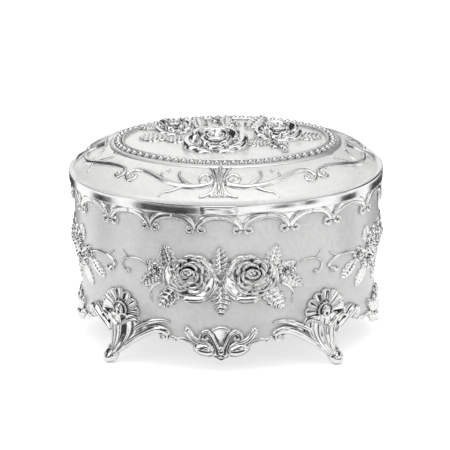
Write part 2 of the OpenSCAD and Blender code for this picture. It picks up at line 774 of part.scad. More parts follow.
body_shell();
floor_plate();
scallop_border();
front_rose_spray();
back_rose_spray();
left_rose_spray();
right_rose_spray();
front_cartouche();
back_cartouche();
left_cartouche();
right_cartouche();
front_left_foot();
front_right_foot();
back_left_foot();
back_right_foot();
wall_lining();
floor_cushion();
hinge_body_leaf();
hinge_pin();
body_leaf_rivets();
lid_dome();
lid_rim();
thumb_tab();
medallion_plate();
ring_moulding();
ring_beads();
front_lid_scrolls();
back_lid_scrolls();
left_lid_scrolls();
right_lid_scrolls();
centre_lid_rose();
left_lid_rose();
right_lid_rose();
lid_leaves();
lid_flowers();
lid_lining();
hinge_lid_leaf();
lid_leaf_rivets();
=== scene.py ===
import math
import random
import bpy
import bmesh
from mathutils import Matrix, Vector


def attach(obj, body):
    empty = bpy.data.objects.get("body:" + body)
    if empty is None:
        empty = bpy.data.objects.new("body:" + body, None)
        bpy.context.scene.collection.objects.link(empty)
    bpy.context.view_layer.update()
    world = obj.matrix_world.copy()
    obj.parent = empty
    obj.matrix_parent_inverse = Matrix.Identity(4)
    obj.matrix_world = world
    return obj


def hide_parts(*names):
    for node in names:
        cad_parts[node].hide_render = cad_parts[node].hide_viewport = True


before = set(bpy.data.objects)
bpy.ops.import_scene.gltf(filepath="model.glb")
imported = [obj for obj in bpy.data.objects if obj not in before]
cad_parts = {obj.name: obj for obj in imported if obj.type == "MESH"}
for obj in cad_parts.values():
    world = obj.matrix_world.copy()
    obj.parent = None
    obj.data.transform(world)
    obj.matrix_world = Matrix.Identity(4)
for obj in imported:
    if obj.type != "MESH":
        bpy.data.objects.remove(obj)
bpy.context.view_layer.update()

random.seed(7)
mm = 0.001

# Shared form
# Millimetres, as in the part's own drawing. Every contour runs parallel to the lid's edge.
box = {"long": 120.0, "wide": 94.0, "lidEdge": 63.2, "rimHigh": 3.9, "domeRise": 9.3,
       "deck": 76.4, "plateTop": 77.3, "wallTop": 63.8}
arcStep = (box["long"] - box["wide"]) / 0.8
endR = box["long"] / 2 - arcStep * 0.6
endX = arcStep * 0.6
sideR = endR + arcStep
sideY = arcStep * 0.8
meet = math.atan2(0.6, 0.8)
midLine = -2.5                                   # the contour that runs along the wall's middle
frontHalf = (sideR + midLine) * meet
quarterRun = frontHalf + (endR + midLine) * (math.pi / 2 - meet)
wallSteps = [(4.8, -3.4), (18.5, -3.8), (50.5, -1.7), (64.0, -1.7)]
domeSteps = [(-15.7, 76.4), (-11.6, 74.55), (-7.75, 72.2), (-3.6, 69.4), (-0.8, 67.1)]


def between(steps, x):
    if x <= steps[0][0]:
        return steps[0][1]
    for (x0, y0), (x1, y1) in zip(steps, steps[1:]):
        if x <= x1:
            return y0 + (y1 - y0) * (x - x0) / (x1 - x0)
    return steps[-1][1]


# run is measured along the wall from the middle of the front towards +X
def ovalPlace(run, g=midLine):
    turn = 4 * quarterRun
    run = (run + turn / 2) % turn - turn / 2
    sx = 1 if run >= 0 else -1
    run = abs(run)
    back = run > quarterRun
    if back:
        run = 2 * quarterRun - run
    if run <= frontHalf:
        a = run / (sideR + midLine)
        p = Vector((math.sin(a) * (sideR + g), sideY - math.cos(a) * (sideR + g)))
    else:
        a = meet + (run - frontHalf) / (endR + midLine)
        p = Vector((endX + math.sin(a) * (endR + g), -math.cos(a) * (endR + g)))
    out = Vector((math.sin(a), -math.cos(a)))
    if back:
        p.y, out.y = -p.y, -out.y
    p.x, out.x = p.x * sx, out.x * sx
    return p, out


# Lays a flat relief (along, height, out) on the wall round a place along it
def onWall(bm, middle, bend=None, verts=None, spread=None):
    for v in verts or bm.verts:
        x, z, w = v.co
        if bend:
            x = bend * math.asin(max(-0.99, min(0.99, x / bend)))
        if spread:
            x, w = spread(x, z, w)
        p, out = ovalPlace(middle + x)
        q = p + out * (between(wallSteps, z) - midLine + w)
        v.co = (q.x, q.y, z)


def edgeOffset(x, y):
    x, y = abs(x), abs(y)
    if x < 0.75 * (sideY + y):
        return math.hypot(x, sideY + y) - sideR
    return math.hypot(x - endX, y) - endR


def onDome(bm, verts=None):
    for v in verts or bm.verts:
        x, y, w = v.co
        v.co.z = between(domeSteps, edgeOffset(x, y)) + w


# Finishes
def nodesOf(name):
    material = bpy.data.materials.new(name)
    material.use_nodes = True
    tree = material.node_tree
    return material, tree, tree.nodes["Principled BSDF"]


def noiseNode(tree, scale, detail, rough=0.55, warp=0.0):
    coords = tree.nodes.new("ShaderNodeTexCoord")
    noise = tree.nodes.new("ShaderNodeTexNoise")
    noise.inputs["Scale"].default_value = scale
    noise.inputs["Detail"].default_value = detail
    noise.inputs["Roughness"].default_value = rough
    noise.inputs["Distortion"].default_value = warp
    tree.links.new(coords.outputs["Object"], noise.inputs["Vector"])
    return noise


def rampNode(tree, source, stops):
    ramp = tree.nodes.new("ShaderNodeValToRGB")
    while len(ramp.color_ramp.elements) < len(stops):
        ramp.color_ramp.elements.new(0.5)
    for element, (at, colour) in zip(ramp.color_ramp.elements, stops):
        element.position = at
        element.color = (*colour, 1) if isinstance(colour, tuple) else (colour, colour, colour, 1)
    tree.links.new(source, ramp.inputs["Fac"])
    return ramp


def bumpNode(tree, shader, source, strength, distance):
    bump = tree.nodes.new("ShaderNodeBump")
    bump.inputs["Strength"].default_value = strength
    bump.inputs["Distance"].default_value = distance
    tree.links.new(source, bump.inputs["Height"])
    tree.links.new(bump.outputs["Normal"], shader.inputs["Normal"])
    return bump


# Painted shade: ambient occlusion turns the colour from light to dark where the surface is closed in
def recessShadeNode(tree, distance, dark, light, pale=0.62):
    hollow = tree.nodes.new("ShaderNodeAmbientOcclusion")
    hollow.samples = 8
    hollow.inputs["Distance"].default_value = distance
    return rampNode(tree, hollow.outputs["AO"], [(0.0, dark), (pale, light)])


# Plated relief: painted shade darkens its fine and broad hollows, taken from ambient occlusion
def silverFinish(name, dark, light, rough, deep=0.0022, creaseShade=0.14, pale=0.5):
    material, tree, shader = nodesOf(name)
    shader.inputs["Metallic"].default_value = 1.0
    broad = recessShadeNode(tree, deep, dark, light, pale)
    # painted shade in the fine creases, darkest at creaseShade
    narrow = recessShadeNode(tree, 0.0006, creaseShade, 1.0, 0.62)
    both = tree.nodes.new("ShaderNodeMix")
    both.data_type = "RGBA"
    both.blend_type = "MULTIPLY"
    both.inputs[0].default_value = 1.0
    tree.links.new(broad.outputs["Color"], both.inputs[6])
    tree.links.new(narrow.outputs["Color"], both.inputs[7])
    tree.links.new(both.outputs[2], shader.inputs["Base Color"])
    haze = noiseNode(tree, 260, 4)
    level = rampNode(tree, haze.outputs["Fac"], [(0.3, rough[0]), (0.7, rough[1])])
    tree.links.new(level.outputs["Color"], shader.inputs["Roughness"])
    skin = noiseNode(tree, 900, 3)
    bumpNode(tree, shader, skin.outputs["Fac"], 0.12, 0.00006)
    return material


def enamelFinish(name, low, high, rough):
    material, tree, shader = nodesOf(name)
    swirl = noiseNode(tree, 95, 6, 0.6, 2.6)
    tone = rampNode(tree, swirl.outputs["Fac"], [(0.36, low), (0.48, high), (0.56, low), (0.7, high)])
    tree.links.new(tone.outputs["Color"], shader.inputs["Base Color"])
    haze = noiseNode(tree, 140, 4)
    level = rampNode(tree, haze.outputs["Fac"], [(0.3, rough[0]), (0.7, rough[1])])
    tree.links.new(level.outputs["Color"], shader.inputs["Roughness"])
    shader.inputs["Coat Weight"].default_value = 0.35
    shader.inputs["Coat Roughness"].default_value = 0.12
    shader.inputs["Metallic"].default_value = 0.12
    ripple = noiseNode(tree, 70, 5, 0.6, 0.8)
    bumpNode(tree, shader, ripple.outputs["Fac"], 0.16, 0.0004)
    return material


def velvetFinish(name):
    material, tree, shader = nodesOf(name)
    nap = noiseNode(tree, 120, 5)
    tone = rampNode(tree, nap.outputs["Fac"], [(0.3, (0.16, 0.008, 0.016)), (0.7, (0.30, 0.02, 0.035))])
    tree.links.new(tone.outputs["Color"], shader.inputs["Base Color"])
    shader.inputs["Roughness"].default_value = 0.95
    shader.inputs["Sheen Weight"].default_value = 0.9
    shader.inputs["Sheen Roughness"].default_value = 0.4
    shader.inputs["Sheen Tint"].default_value = (0.9, 0.35, 0.4, 1)
    pile = noiseNode(tree, 2600, 3)
    bumpNode(tree, shader, pile.outputs["Fac"], 0.6, 0.0003)
    return material


def steelFinish(name, tone, rough, stretch):
    material, tree, shader = nodesOf(name)
    shader.inputs["Metallic"].default_value = 1.0
    coords = tree.nodes.new("ShaderNodeTexCoord")
    mapping = tree.nodes.new("ShaderNodeMapping")
    mapping.inputs["Scale"].default_value = stretch
    grain = tree.nodes.new("ShaderNodeTexNoise")
    grain.inputs["Scale"].default_value = 300
    grain.inputs["Detail"].default_value = 5
    tree.links.new(coords.outputs["Object"], mapping.inputs["Vector"])
    tree.links.new(mapping.outputs["Vector"], grain.inputs["Vector"])
    shade = rampNode(tree, grain.outputs["Fac"], [(0.3, tuple(c * 0.8 for c in tone)), (0.7, tone)])
    tree.links.new(shade.outputs["Color"], shader.inputs["Base Color"])
    level = rampNode(tree, grain.outputs["Fac"], [(0.3, rough[0]), (0.7, rough[1])])
    tree.links.new(level.outputs["Color"], shader.inputs["Roughness"])
    bumpNode(tree, shader, grain.outputs["Fac"], 0.25, 0.00005)
    return material


finishes = {
    # The first colour of each silver finish is the painted shade in its hollows
    "silver": silverFinish("silverPlate", (0.02, 0.02, 0.019), (0.82, 0.82, 0.812), (0.08, 0.18)),
    "smooth": silverFinish("smoothSilver", (0.1, 0.1, 0.098), (0.87, 0.87, 0.862), (0.12, 0.2), 0.0026, 0.7, 0.4),
    "pale": silverFinish("paleSilver", (0.14, 0.138, 0.135), (0.88, 0.88, 0.87), (0.2, 0.3), 0.0014),
    "satin": silverFinish("satinSilver", (0.3, 0.3, 0.295), (0.88, 0.88, 0.87), (0.34, 0.44), 0.001, 0.4),
    "rim": silverFinish("polishedRim", (0.3, 0.29, 0.28), (0.84, 0.84, 0.835), (0.14, 0.24), 0.0012),
    # The wall's enamel is darker than the lid's partly as painted shade: the upright wall takes less light than the
    # lid's top
    "bodyEnamel": enamelFinish("bodyEnamel", (0.655, 0.66, 0.65), (0.72, 0.725, 0.715), (0.28, 0.42)),
    "lidEnamel": enamelFinish("lidEnamel", (0.80, 0.805, 0.79), (0.85, 0.855, 0.84), (0.24, 0.36)),
    "velvet": velvetFinish("velvet"),
    "leafMetal": steelFinish("satinHinge", (0.72, 0.72, 0.70), (0.25, 0.4), (1, 6, 6)),
    "pin": steelFinish("drawnWire", (0.6, 0.6, 0.61), (0.2, 0.35), (0.2, 6, 6)),
    "plain": steelFinish("castBase", (0.66, 0.66, 0.65), (0.3, 0.5), (2, 2, 2)),
}
print("finishes ready")


# Making tools
def finishPiece(name, bm, body, finish, replaces=(), merge=0.0):
    if merge:
        bmesh.ops.remove_doubles(bm, verts=bm.verts, dist=merge)
    bmesh.ops.recalc_face_normals(bm, faces=bm.faces)
    bmesh.ops.scale(bm, vec=(mm, mm, mm), verts=bm.verts)
    for face in bm.faces:
        face.smooth = True
    mesh = bpy.data.meshes.new(name)
    bm.to_mesh(mesh)
    bm.free()
    piece = bpy.data.objects.new(name, mesh)
    bpy.context.scene.collection.objects.link(piece)
    mesh.materials.append(finishes[finish])
    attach(piece, body)
    if replaces:
        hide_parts(*replaces)
    return piece


def creased(piece, degrees=38):
    for poly in piece.data.polygons:
        poly.use_smooth = True
    piece.data.set_sharp_from_angle(angle=math.radians(degrees))


# Catmull-Rom path through the points
def curvePath(points, steps=5):
    full = []
    n = len(points)
    for i in range(n - 1):
        a, b, c, d = (Vector(points[max(0, min(n - 1, j))]) for j in (i - 1, i, i + 1, i + 2))
        for k in range(steps):
            t = k / steps
            full.append(0.5 * (2 * b + (c - a) * t + (2 * a - 5 * b + 4 * c - d) * t * t
                               + (3 * b - a - 3 * c + d) * t ** 3))
    full.append(Vector(points[-1]))
    return full


# Round wire along a path, from thick to thin; sunk to its middle unless lifted
def addTube(bm, points, thick, thin=None, sides=2, steps=5, lift=0.0, flat=1.0, middle=None):
    thin = thick if thin is None else thin
    path = curvePath(points, steps)
    curve = bpy.data.curves.new("wire", "CURVE")
    curve.dimensions = "3D"
    curve.bevel_depth = 1.0
    curve.bevel_resolution = sides
    curve.use_fill_caps = True
    curve.twist_mode = "Z_UP"
    spline = curve.splines.new("POLY")
    spline.points.add(len(path) - 1)
    for i, p in enumerate(path):
        t = i / (len(path) - 1)
        spline.points[i].co = (p[0], p[1], 0.0, 1)
        radius = thick + (thin - thick) * t
        if middle is not None:
            radius = thick + (middle - thick) * 2 * t if t < 0.5 else middle + (thin - middle) * (2 * t - 1)
        spline.points[i].radius = radius
    holder = bpy.data.objects.new("wire", curve)
    mesh = holder.to_mesh()
    known = set(bm.verts)
    bm.from_mesh(mesh)
    holder.to_mesh_clear()
    bpy.data.objects.remove(holder)
    bpy.data.curves.remove(curve)
    verts = [v for v in bm.verts if v not in known]
    bmesh.ops.remove_doubles(bm, verts=verts, dist=1e-5)
    verts = [v for v in bm.verts if v not in known]
    for v in verts:
        v.co.z = v.co.z * flat + lift
    return verts


# Points of a spiral that winds in from r0 to r1; start in degrees, turns may be negative
def curl(cx, cy, r0, r1, start, turns, count=14):
    points = []
    for i in range(count + 1):
        t = i / count
        a = math.radians(start) + turns * 2 * math.pi * t
        r = r0 + (r1 - r0) * t
        points.append((cx + r * math.cos(a), cy + r * math.sin(a)))
    return points


def addBall(bm, x, y, r, w=0.0, sx=1.0, sy=1.0, flat=1.0, turn=0.0, cuts=12):
    where = Matrix.Translation((x, y, w)) @ Matrix.Rotation(math.radians(turn), 4, "Z") @ Matrix.Diagonal((sx, sy, flat, 1))
    return bmesh.ops.create_uvsphere(bm, u_segments=cuts, v_segments=max(6, cuts // 2 + 2), radius=r, matrix=where)["verts"]


# A closed pad: a grid of nx by ny whose top follows shape(a, b), a and b from -1 to 1
def addPad(bm, nx, ny, shape, under=-0.35):
    made = bmesh.ops.create_grid(bm, x_segments=nx, y_segments=ny, size=1)["verts"]
    faces = list({f for v in made for f in v.link_faces})
    raised = bmesh.ops.extrude_face_region(bm, geom=faces)["geom"]
    top = [e for e in raised if isinstance(e, bmesh.types.BMVert)]
    for v in made:
        p = shape(v.co.x, v.co.y)
        v.co = (p[0], p[1], under)
    for v in top:
        v.co = shape(v.co.x, v.co.y)
    return made + top


def turned(p, degrees, at):
    a = math.radians(degrees)
    return (at[0] + p[0] * math.cos(a) - p[1] * math.sin(a), at[1] + p[0] * math.sin(a) + p[1] * math.cos(a), p[2])


# Toothed leaf from its foot along +Y, turned about the foot
def addLeaf(bm, at, turn, long, broad, high=0.9, teeth=4, bend=0.0, nx=14, ny=46, base=0.1):
    def shape(a, b):
        t = (b + 1) / 2
        width = broad / 2 * max(0.0, math.sin(math.pi * min(1, t ** 0.72))) ** 0.62
        width = max(width, 0.1 * broad * (1 - t) + 0.04)
        saw = (t * teeth + 0.1) % 1.0
        width *= 1 - 0.34 * saw ** 1.5 * abs(a) ** 2
        x = a * width + bend * math.sin(math.pi * t) * broad
        # the teeth point towards the tip
        y = t * long + 0.06 * long * abs(a) ** 2 * math.sin(math.pi * t)
        crown = (1 - abs(a) ** 4) ** 0.5 if abs(a) < 1 else 0
        w = base + high * crown * (0.7 + 0.3 * math.sin(math.pi * t)) * (0.75 + 0.25 * abs(a))
        w -= 0.5 * high * math.exp(-(a / 0.11) ** 2) * (1 - 0.6 * t)
        vein = (t * teeth * 1.5 - 0.6 * abs(a)) % 1.0 - 0.5
        w -= 0.42 * high * math.exp(-(vein / 0.17) ** 2) * (1 - math.exp(-(a / 0.25) ** 2)) * crown
        return turned((x, y, w), turn, at)
    return addPad(bm, nx, ny, shape)


# One rose petal: a cupped arc that rises outwards and rolls over at its rim. With a twist one end
# lies inside its neighbour and the other outside it.
def addPetal(bm, at, turn, span, r0, r1, h0, h1, nx=14, ny=10, lean=0.0, under=-0.3, drop=0.45,
             square=4.0, twist=0.0, tip=0.0):
    def shape(a, b):
        t = (b + 1) / 2
        angle = math.radians(turn + a * span / 2)
        grow = 1 + twist * a
        reach = r1 * (1 - 0.24 * abs(a) ** square) * grow + tip * math.exp(-(a / 0.3) ** 2)
        r = r0 * grow + (reach - r0 * grow) * t
        if t < 0.7:
            rise = (t / 0.7) ** 1.5
        else:
            rise = 1 - drop * ((t - 0.7) / 0.3) ** 2
        w = h0 + (h1 - h0) * rise * (1 - 0.35 * abs(a) ** 3) + lean * a
        if t >= 0.999:
            w = under + 0.45 * (w - under)
        return (at[0] + r * math.cos(angle), at[1] + r * math.sin(angle), w)
    return addPad(bm, nx, ny, shape, under)


def addFlower(bm, at, r, count=5, turn=90, high=0.8, cup=0.35):
    for i in range(count):
        addPetal(bm, at, turn + i * 360 / count, 360 / count * 0.98, r * 0.16, r, 0.25, high,
                 nx=8, ny=7, drop=0.5, square=3.0)
    addBall(bm, at[0], at[1], r * 0.24, w=high * 0.85, flat=1.0, cuts=10)
    for i in range(10):
        a = 2 * math.pi * i / 10
        addBall(bm, at[0] + r * 0.4 * math.cos(a), at[1] + r * 0.4 * math.sin(a), r * 0.07, w=high * 0.75, cuts=6)


# Tiers of a rose: petals, inner and outer radius, low and high edge, share of the lean, span, first angle
wallTiers = [(5, 0.56, 1.00, 0.05, 0.52, 0.0, 78, 90), (4, 0.38, 0.78, 0.22, 0.76, 0.4, 98, 40),
             (3, 0.20, 0.55, 0.44, 0.94, 0.8, 128, 95)]
# Single petals of a lid rose: angle, span, inner and outer radius, low and high edge
lidPetals = [(118, 92, 0.30, 0.98, 0.15, 0.82), (58, 92, 0.30, 0.98, 0.15, 0.82), (186, 96, 0.30, 1.06, 0.05, 0.68),
             (-6, 96, 0.30, 1.06, 0.05, 0.68), (-128, 70, 0.36, 0.94, 0.0, 0.40), (-52, 70, 0.36, 0.94, 0.0, 0.40),
             (90, 176, 0.14, 0.52, 0.45, 1.0), (-160, 100, 0.14, 0.52, 0.2, 0.8), (-20, 100, 0.14, 0.52, 0.2, 0.8),
             (-90, 96, 0.16, 0.56, 0.05, 0.52)]


# Cabbage rose: tiers of cupped petals about a small bowl with a rolled rim
def addRose(bm, at, r, high, flip=1, lean=(0.0, 1.3), turn=0.0, tiers=wallTiers, single=()):
    cx, cy = at
    for angle, span, inner, outerR, low, top in single:
        addPetal(bm, at, angle + turn, span, r * inner, r * outerR, high * low, high * top, nx=26, ny=16,
                 lean=0.03 * high, drop=0.2, twist=0.05, square=3.0)
    for count, inner, outerR, low, top, share, span, first in tiers:
        for i in range(count):
            angle = first + turn + i * 360 / count
            if flip < 0:
                angle = 180 - angle
            spot = (cx + lean[0] * share * flip, cy + lean[1] * share)
            addPetal(bm, spot, angle, span, r * inner, r * outerR, high * low, high * top, nx=20, ny=12,
                     lean=0.1 * high * flip * (1 - share), drop=0.4, twist=0.13 * flip, square=2.4)
    bud = (cx + lean[0] * flip, cy + lean[1])
    bowl = [(bud[0] + 0.25 * r * math.cos(a) + 0.03 * r * a * flip / 6, bud[1] + 0.19 * r * math.sin(a))
            for a in [math.radians(100 * flip + flip * 24 * k) for k in range(15)]]
    addTube(bm, bowl, r * 0.085, r * 0.05, lift=high * 0.9, steps=2, sides=3)
    heart = 0.5 if single else 0.62
    addBall(bm, bud[0] - 0.02 * r, bud[1], r * 0.24, w=high * heart, flat=0.35, cuts=16)
    addBall(bm, bud[0] + 0.05 * r * flip, bud[1] + 0.03 * r, r * 0.085, w=high * (heart + 0.2), sx=1.5, cuts=10)


# Spins a profile of (offset, height) round the oval's four arcs
def sweepOval(bm, profile, closed=True, fineEnd=40, fineSide=34):
    start = meet
    ring = []
    for g, z in profile:
        # start at the joint on the front left, going anticlockwise seen from above
        ring.append(bm.verts.new((-math.sin(start) * (sideR + g), sideY - math.cos(start) * (sideR + g), z)))
    edges = [bm.edges.new((ring[i], ring[i + 1])) for i in range(len(ring) - 1)]
    if closed:
        edges.append(bm.edges.new((ring[-1], ring[0])))
    geom = list(ring) + edges
    arcs = [((0, sideY, 0), 2 * meet, fineSide), ((endX, 0, 0), math.pi - 2 * meet, fineEnd),
            ((0, -sideY, 0), 2 * meet, fineSide), ((-endX, 0, 0), math.pi - 2 * meet, fineEnd)]
    for centre, angle, steps in arcs:
        made = bmesh.ops.spin(bm, geom=geom, cent=centre, axis=(0, 0, 1), angle=angle, steps=steps, use_duplicate=False)
        geom = made["geom_last"]
    bmesh.ops.remove_doubles(bm, verts=bm.verts, dist=0.002)


# Closes a level opening with one face
def capOval(bm, z, tolerance=0.01):
    edges = [e for e in bm.edges if e.is_boundary and all(abs(v.co.z - z) < tolerance for v in e.verts)]
    if edges:
        bmesh.ops.edgeloop_fill(bm, edges=edges)


print("tools ready")

# Camera, light, floor
view = {"aim": (0.0, 0.0, 0.0632), "far": 1.0, "turn": 3.735, "rise": 18.563, "roll": -0.962,
        "focal": 2615.0, "spotX": 226.0, "spotY": 174.9, "frame": 450.0, "sensor": 36.0}


def placeCamera():
    turn, rise = math.radians(view["turn"]), math.radians(view["rise"])
    back = Vector((math.sin(turn) * math.cos(rise), -math.cos(turn) * math.cos(rise), math.sin(rise)))
    aim = Vector(view["aim"])
    eye = aim + back * view["far"]
    right = Vector((math.cos(turn), math.sin(turn), 0))
    up = back.cross(right)
    # aims at the point that falls in the middle of the frame
    half = view["frame"] / 2
    roll = math.radians(view["roll"])
    dx, dy = half - view["spotX"], half - view["spotY"]
    u = (math.cos(roll) * dx + math.sin(roll) * dy) / view["focal"]
    v = (math.cos(roll) * dy - math.sin(roll) * dx) / view["focal"]
    forward = (-back + right * u - up * v).normalized()
    side = forward.cross(Vector((0, 0, 1))).normalized()
    head = side.cross(forward)
    spin = Matrix.Rotation(-roll, 3, forward)
    side, head = spin @ side, spin @ head
    data = bpy.data.cameras.new("camera")
    data.sensor_width = view["sensor"]
    data.lens = view["focal"] / view["frame"] * view["sensor"]
    data.clip_start = 0.01
    camera = bpy.data.objects.new("camera", data)
    camera.matrix_world = Matrix((
        (side.x, head.x, -forward.x, eye.x), (side.y, head.y, -forward.y, eye.y),
        (side.z, head.z, -forward.z, eye.z), (0, 0, 0, 1)))
    bpy.context.scene.collection.objects.link(camera)
    bpy.context.scene.camera = camera


def addLamp(name, at, look, size, power):
    data = bpy.data.lights.new(name, "AREA")
    data.shape = "RECTANGLE"
    data.size, data.size_y = size
    data.energy = power
    lamp = bpy.data.objects.new(name, data)
    way = (Vector(look) - Vector(at)).normalized()
    lamp.location = at
    lamp.rotation_euler = way.to_track_quat("-Z", "Y").to_euler()
    bpy.context.scene.collection.objects.link(lamp)


# Dark cards overhead and on the table, out of the camera's sight, for polished metal to mirror
def addCards():
    bm = bmesh.new()
    bmesh.ops.create_uvsphere(bm, u_segments=cards["around"], v_segments=cards["rows"], radius=cards["far"])
    gone = [f for f in bm.faces if f.calc_center_median().z < 0.03
            or random.random() > between(cards["share"], f.calc_center_median().z / cards["far"])]
    bmesh.ops.delete(bm, geom=gone, context="FACES")
    for first, last, near, far in cards["low"]:
        made = bmesh.ops.create_grid(bm, x_segments=6, y_segments=1, size=1)["verts"]
        for v in made:
            a = math.radians(first + (last - first) * (v.co.x + 1) / 2)
            r = near + (far - near) * (v.co.y + 1) / 2
            v.co = (r * math.cos(a), r * math.sin(a), 0.0015)
    mesh = bpy.data.meshes.new("darkCards")
    bm.to_mesh(mesh)
    bm.free()
    piece = bpy.data.objects.new("darkCards", mesh)
    piece.visible_camera = False
    piece.visible_diffuse = False
    piece.visible_shadow = False
    piece.visible_transmission = False
    mesh.materials.append(flagFinish)
    bpy.context.scene.collection.objects.link(piece)


# Cards on the table: first and last angle from +X, near and far radius
cards = {"around": 22, "rows": 16, "far": 1.6,
         "share": [(0.0, 0.25), (0.15, 0.5), (0.5, 0.55), (0.8, 0.4), (1.0, 0.25)],
         "low": [(-143, -104, 0.12, 0.42), (-140, -108, 0.52, 1.1), (-89, -84, 0.15, 0.5), (-62, -50, 0.2, 0.5),
                 (-44, -36, 0.2, 0.7), (-178, -158, 0.13, 0.3), (-20, 0, 0.13, 0.3), (20, 60, 0.13, 0.3),
                 (110, 150, 0.13, 0.3), (-128, -110, 0.09, 0.13), (-76, -60, 0.09, 0.14), (-101, -93, 0.1, 0.2),
                 (-112, -68, 0.052, 0.078), (-150, -128, 0.062, 0.09), (-52, -30, 0.062, 0.09), (62, 118, 0.055, 0.08)]}
studio = {"worldLevel": 0.84, "floorGlow": 0.5, "floorMirrored": 0.6, "top": 2.0, "left": 1.4, "right": 0.7}
flagFinish, flagTree, flagShader = nodesOf("darkCard")
flagShader.inputs["Base Color"].default_value = (0.03, 0.03, 0.035, 1)
flagShader.inputs["Roughness"].default_value = 0.9
placeCamera()
addLamp("topLamp", (0.0, -0.15, 1.1), (0, 0, 0.04), (0.9, 0.7), studio["top"])
addLamp("leftLamp", (-1.0, -0.7, 0.7), (0, 0, 0.04), (0.6, 0.8), studio["left"])
addLamp("rightLamp", (1.0, -0.5, 0.6), (0, 0, 0.04), (0.5, 0.8), studio["right"])
addCards()

world = bpy.data.worlds.new("studio")
bpy.context.scene.world = world
world.use_nodes = True
sky = world.node_tree
skyShader = sky.nodes["Background"]
skyPath = sky.nodes.new("ShaderNodeLightPath")
skyMost = sky.nodes.new("ShaderNodeMath")
skyMost.operation = "MAXIMUM"
skyMore = sky.nodes.new("ShaderNodeMath")
skyMore.operation = "MAXIMUM"
sky.links.new(skyPath.outputs["Is Camera Ray"], skyMost.inputs[0])
sky.links.new(skyPath.outputs["Is Glossy Ray"], skyMost.inputs[1])
sky.links.new(skyMost.outputs[0], skyMore.inputs[0])
sky.links.new(skyPath.outputs["Is Transmission Ray"], skyMore.inputs[1])
skyLevel = sky.nodes.new("ShaderNodeMapRange")
skyLevel.inputs["To Min"].default_value = studio["worldLevel"]
skyLevel.inputs["To Max"].default_value = 1.0
sky.links.new(skyMore.outputs[0], skyLevel.inputs["Value"])
sky.links.new(skyLevel.outputs["Result"], skyShader.inputs["Strength"])
skyShader.inputs["Color"].default_value = (1, 1, 1, 1)

floorMaterial, floorTree, floorShader = nodesOf("paleFloor")
floorShader.inputs["Base Color"].default_value = (0.88, 0.88, 0.88, 1)
floorShader.inputs["Roughness"].default_value = 0.7
floorShader.inputs["Emission Color"].default_value = (1, 1, 1, 1)
floorPath = floorTree.nodes.new("ShaderNodeLightPath")
floorMost = floorTree.nodes.new("ShaderNodeMath")
floorMost.operation = "MAXIMUM"
floorGlow = floorTree.nodes.new("ShaderNodeMath")
floorGlow.operation = "MULTIPLY"
floorGlow.inputs[1].default_value = studio["floorGlow"]
floorTree.links.new(floorPath.outputs["Is Camera Ray"], floorMost.inputs[0])
floorDim = floorTree.nodes.new("ShaderNodeMath")
floorDim.operation = "MULTIPLY"
floorDim.inputs[1].default_value = studio["floorMirrored"]
floorTree.links.new(floorPath.outputs["Is Glossy Ray"], floorDim.inputs[0])
floorTree.links.new(floorDim.outputs[0], floorMost.inputs[1])
floorTree.links.new(floorMost.outputs[0], floorGlow.inputs[0])
floorTree.links.new(floorGlow.outputs[0], floorShader.inputs["Emission Strength"])
floorBm = bmesh.new()
bmesh.ops.create_grid(floorBm, x_segments=2, y_segments=2, size=6)
floorMesh = bpy.data.meshes.new("floor")
floorBm.to_mesh(floorMesh)
floorBm.free()
floorMesh.materials.append(floorMaterial)
floor = bpy.data.objects.new("floor", floorMesh)
bpy.context.scene.collection.objects.link(floor)
bpy.context.scene.view_settings.view_transform = "Standard"
print("camera, lamps and floor ready")

# Body wall
wall = {"thick": 1.8, "lowest": [(0, 8.4), (8, 8.8), (11.5, 11.8), (18.3, 12.3), (22, 12.6), (26.2, 14.0),
                                 (30, 15.8), (33.5, 15.6), (37, 12.6), (42, 12.0)]}


# Distance along the wall from the nearest side's middle
def sideRun(x, y):
    ax, ay = abs(x), abs(y)
    if ax < 0.75 * (sideY + ay):
        run = math.atan2(ax, sideY + ay) * (sideR + midLine)
    else:
        a = math.atan2(ax - endX, ay)
        run = frontHalf + (a - meet) * (endR + midLine)
    return min(run, quarterRun - run + 0.0) if run > 40.9 else run


def buildWall():
    bm = bmesh.new()
    heights = [4.8, 6.5, 8.5, 10.5, 12.5, 14.5, 16.5, 18.5, 21, 25, 30, 35, 40, 45, 48, 50.5, 53, 58, 59.7, 59.8, 63.2, 63.3, 63.8]
    rounded = [(4.8, -3.4), (12, -3.72), (18.5, -3.8), (25, -3.45), (45, -2.12), (48, -1.94), (50.5, -1.8), (53, -1.7), (64, -1.7)]
    outer = [(between(rounded, z), z) for z in heights]
    inner = [(g - wall["thick"], z) for g, z in reversed(outer)]
    sweepOval(bm, outer + inner)
    for v in bm.verts:
        z = v.co.z
        if z < 21:
            low = between(wall["lowest"], sideRun(v.co.x, v.co.y))
            v.co.z = 21 - (21 - z) * (21 - low) / (21 - 4.8)
    # groove behind, in which the hinge's knuckles turn
    for v in bm.verts:
        if v.co.y > 43.9 and abs(v.co.x) < 10.6 and 58.0 < v.co.z < 63.4:
            v.co.y = min(v.co.y, 44.3)
    piece = finishPiece("bodyWall", bm, "body", "bodyEnamel", ("body_shell",))
    creased(piece)


buildWall()
print("wall ready")

# Lid shell
lidForm = {"domeThick": 1.6, "rimStep": 0.8}


def buildDome():
    bm = bmesh.new()
    crown = [(-0.8, 66.9), (-0.82, 67.5), (-1.4, 68.35), (-2.6, 69.2), (-4.4, 70.4), (-6.4, 71.6), (-8.6, 72.8), (-10.8, 73.95),
             (-13.0, 75.05), (-15.0, 76.0), (-16.2, 76.35), (-17.5, 76.4), (-22.5, 76.4)]
    under = [(-22.5, 74.9), (-16.6, 74.8), (-9.5, 71.0), (-2.4, 67.1)]
    sweepOval(bm, crown + under, closed=True)
    domeSteps[:] = [(g, z) for g, z in reversed(crown[1:12])]
    creased(finishPiece("enamelDome", bm, "lid", "lidEnamel", ("lid_dome",)), 50)


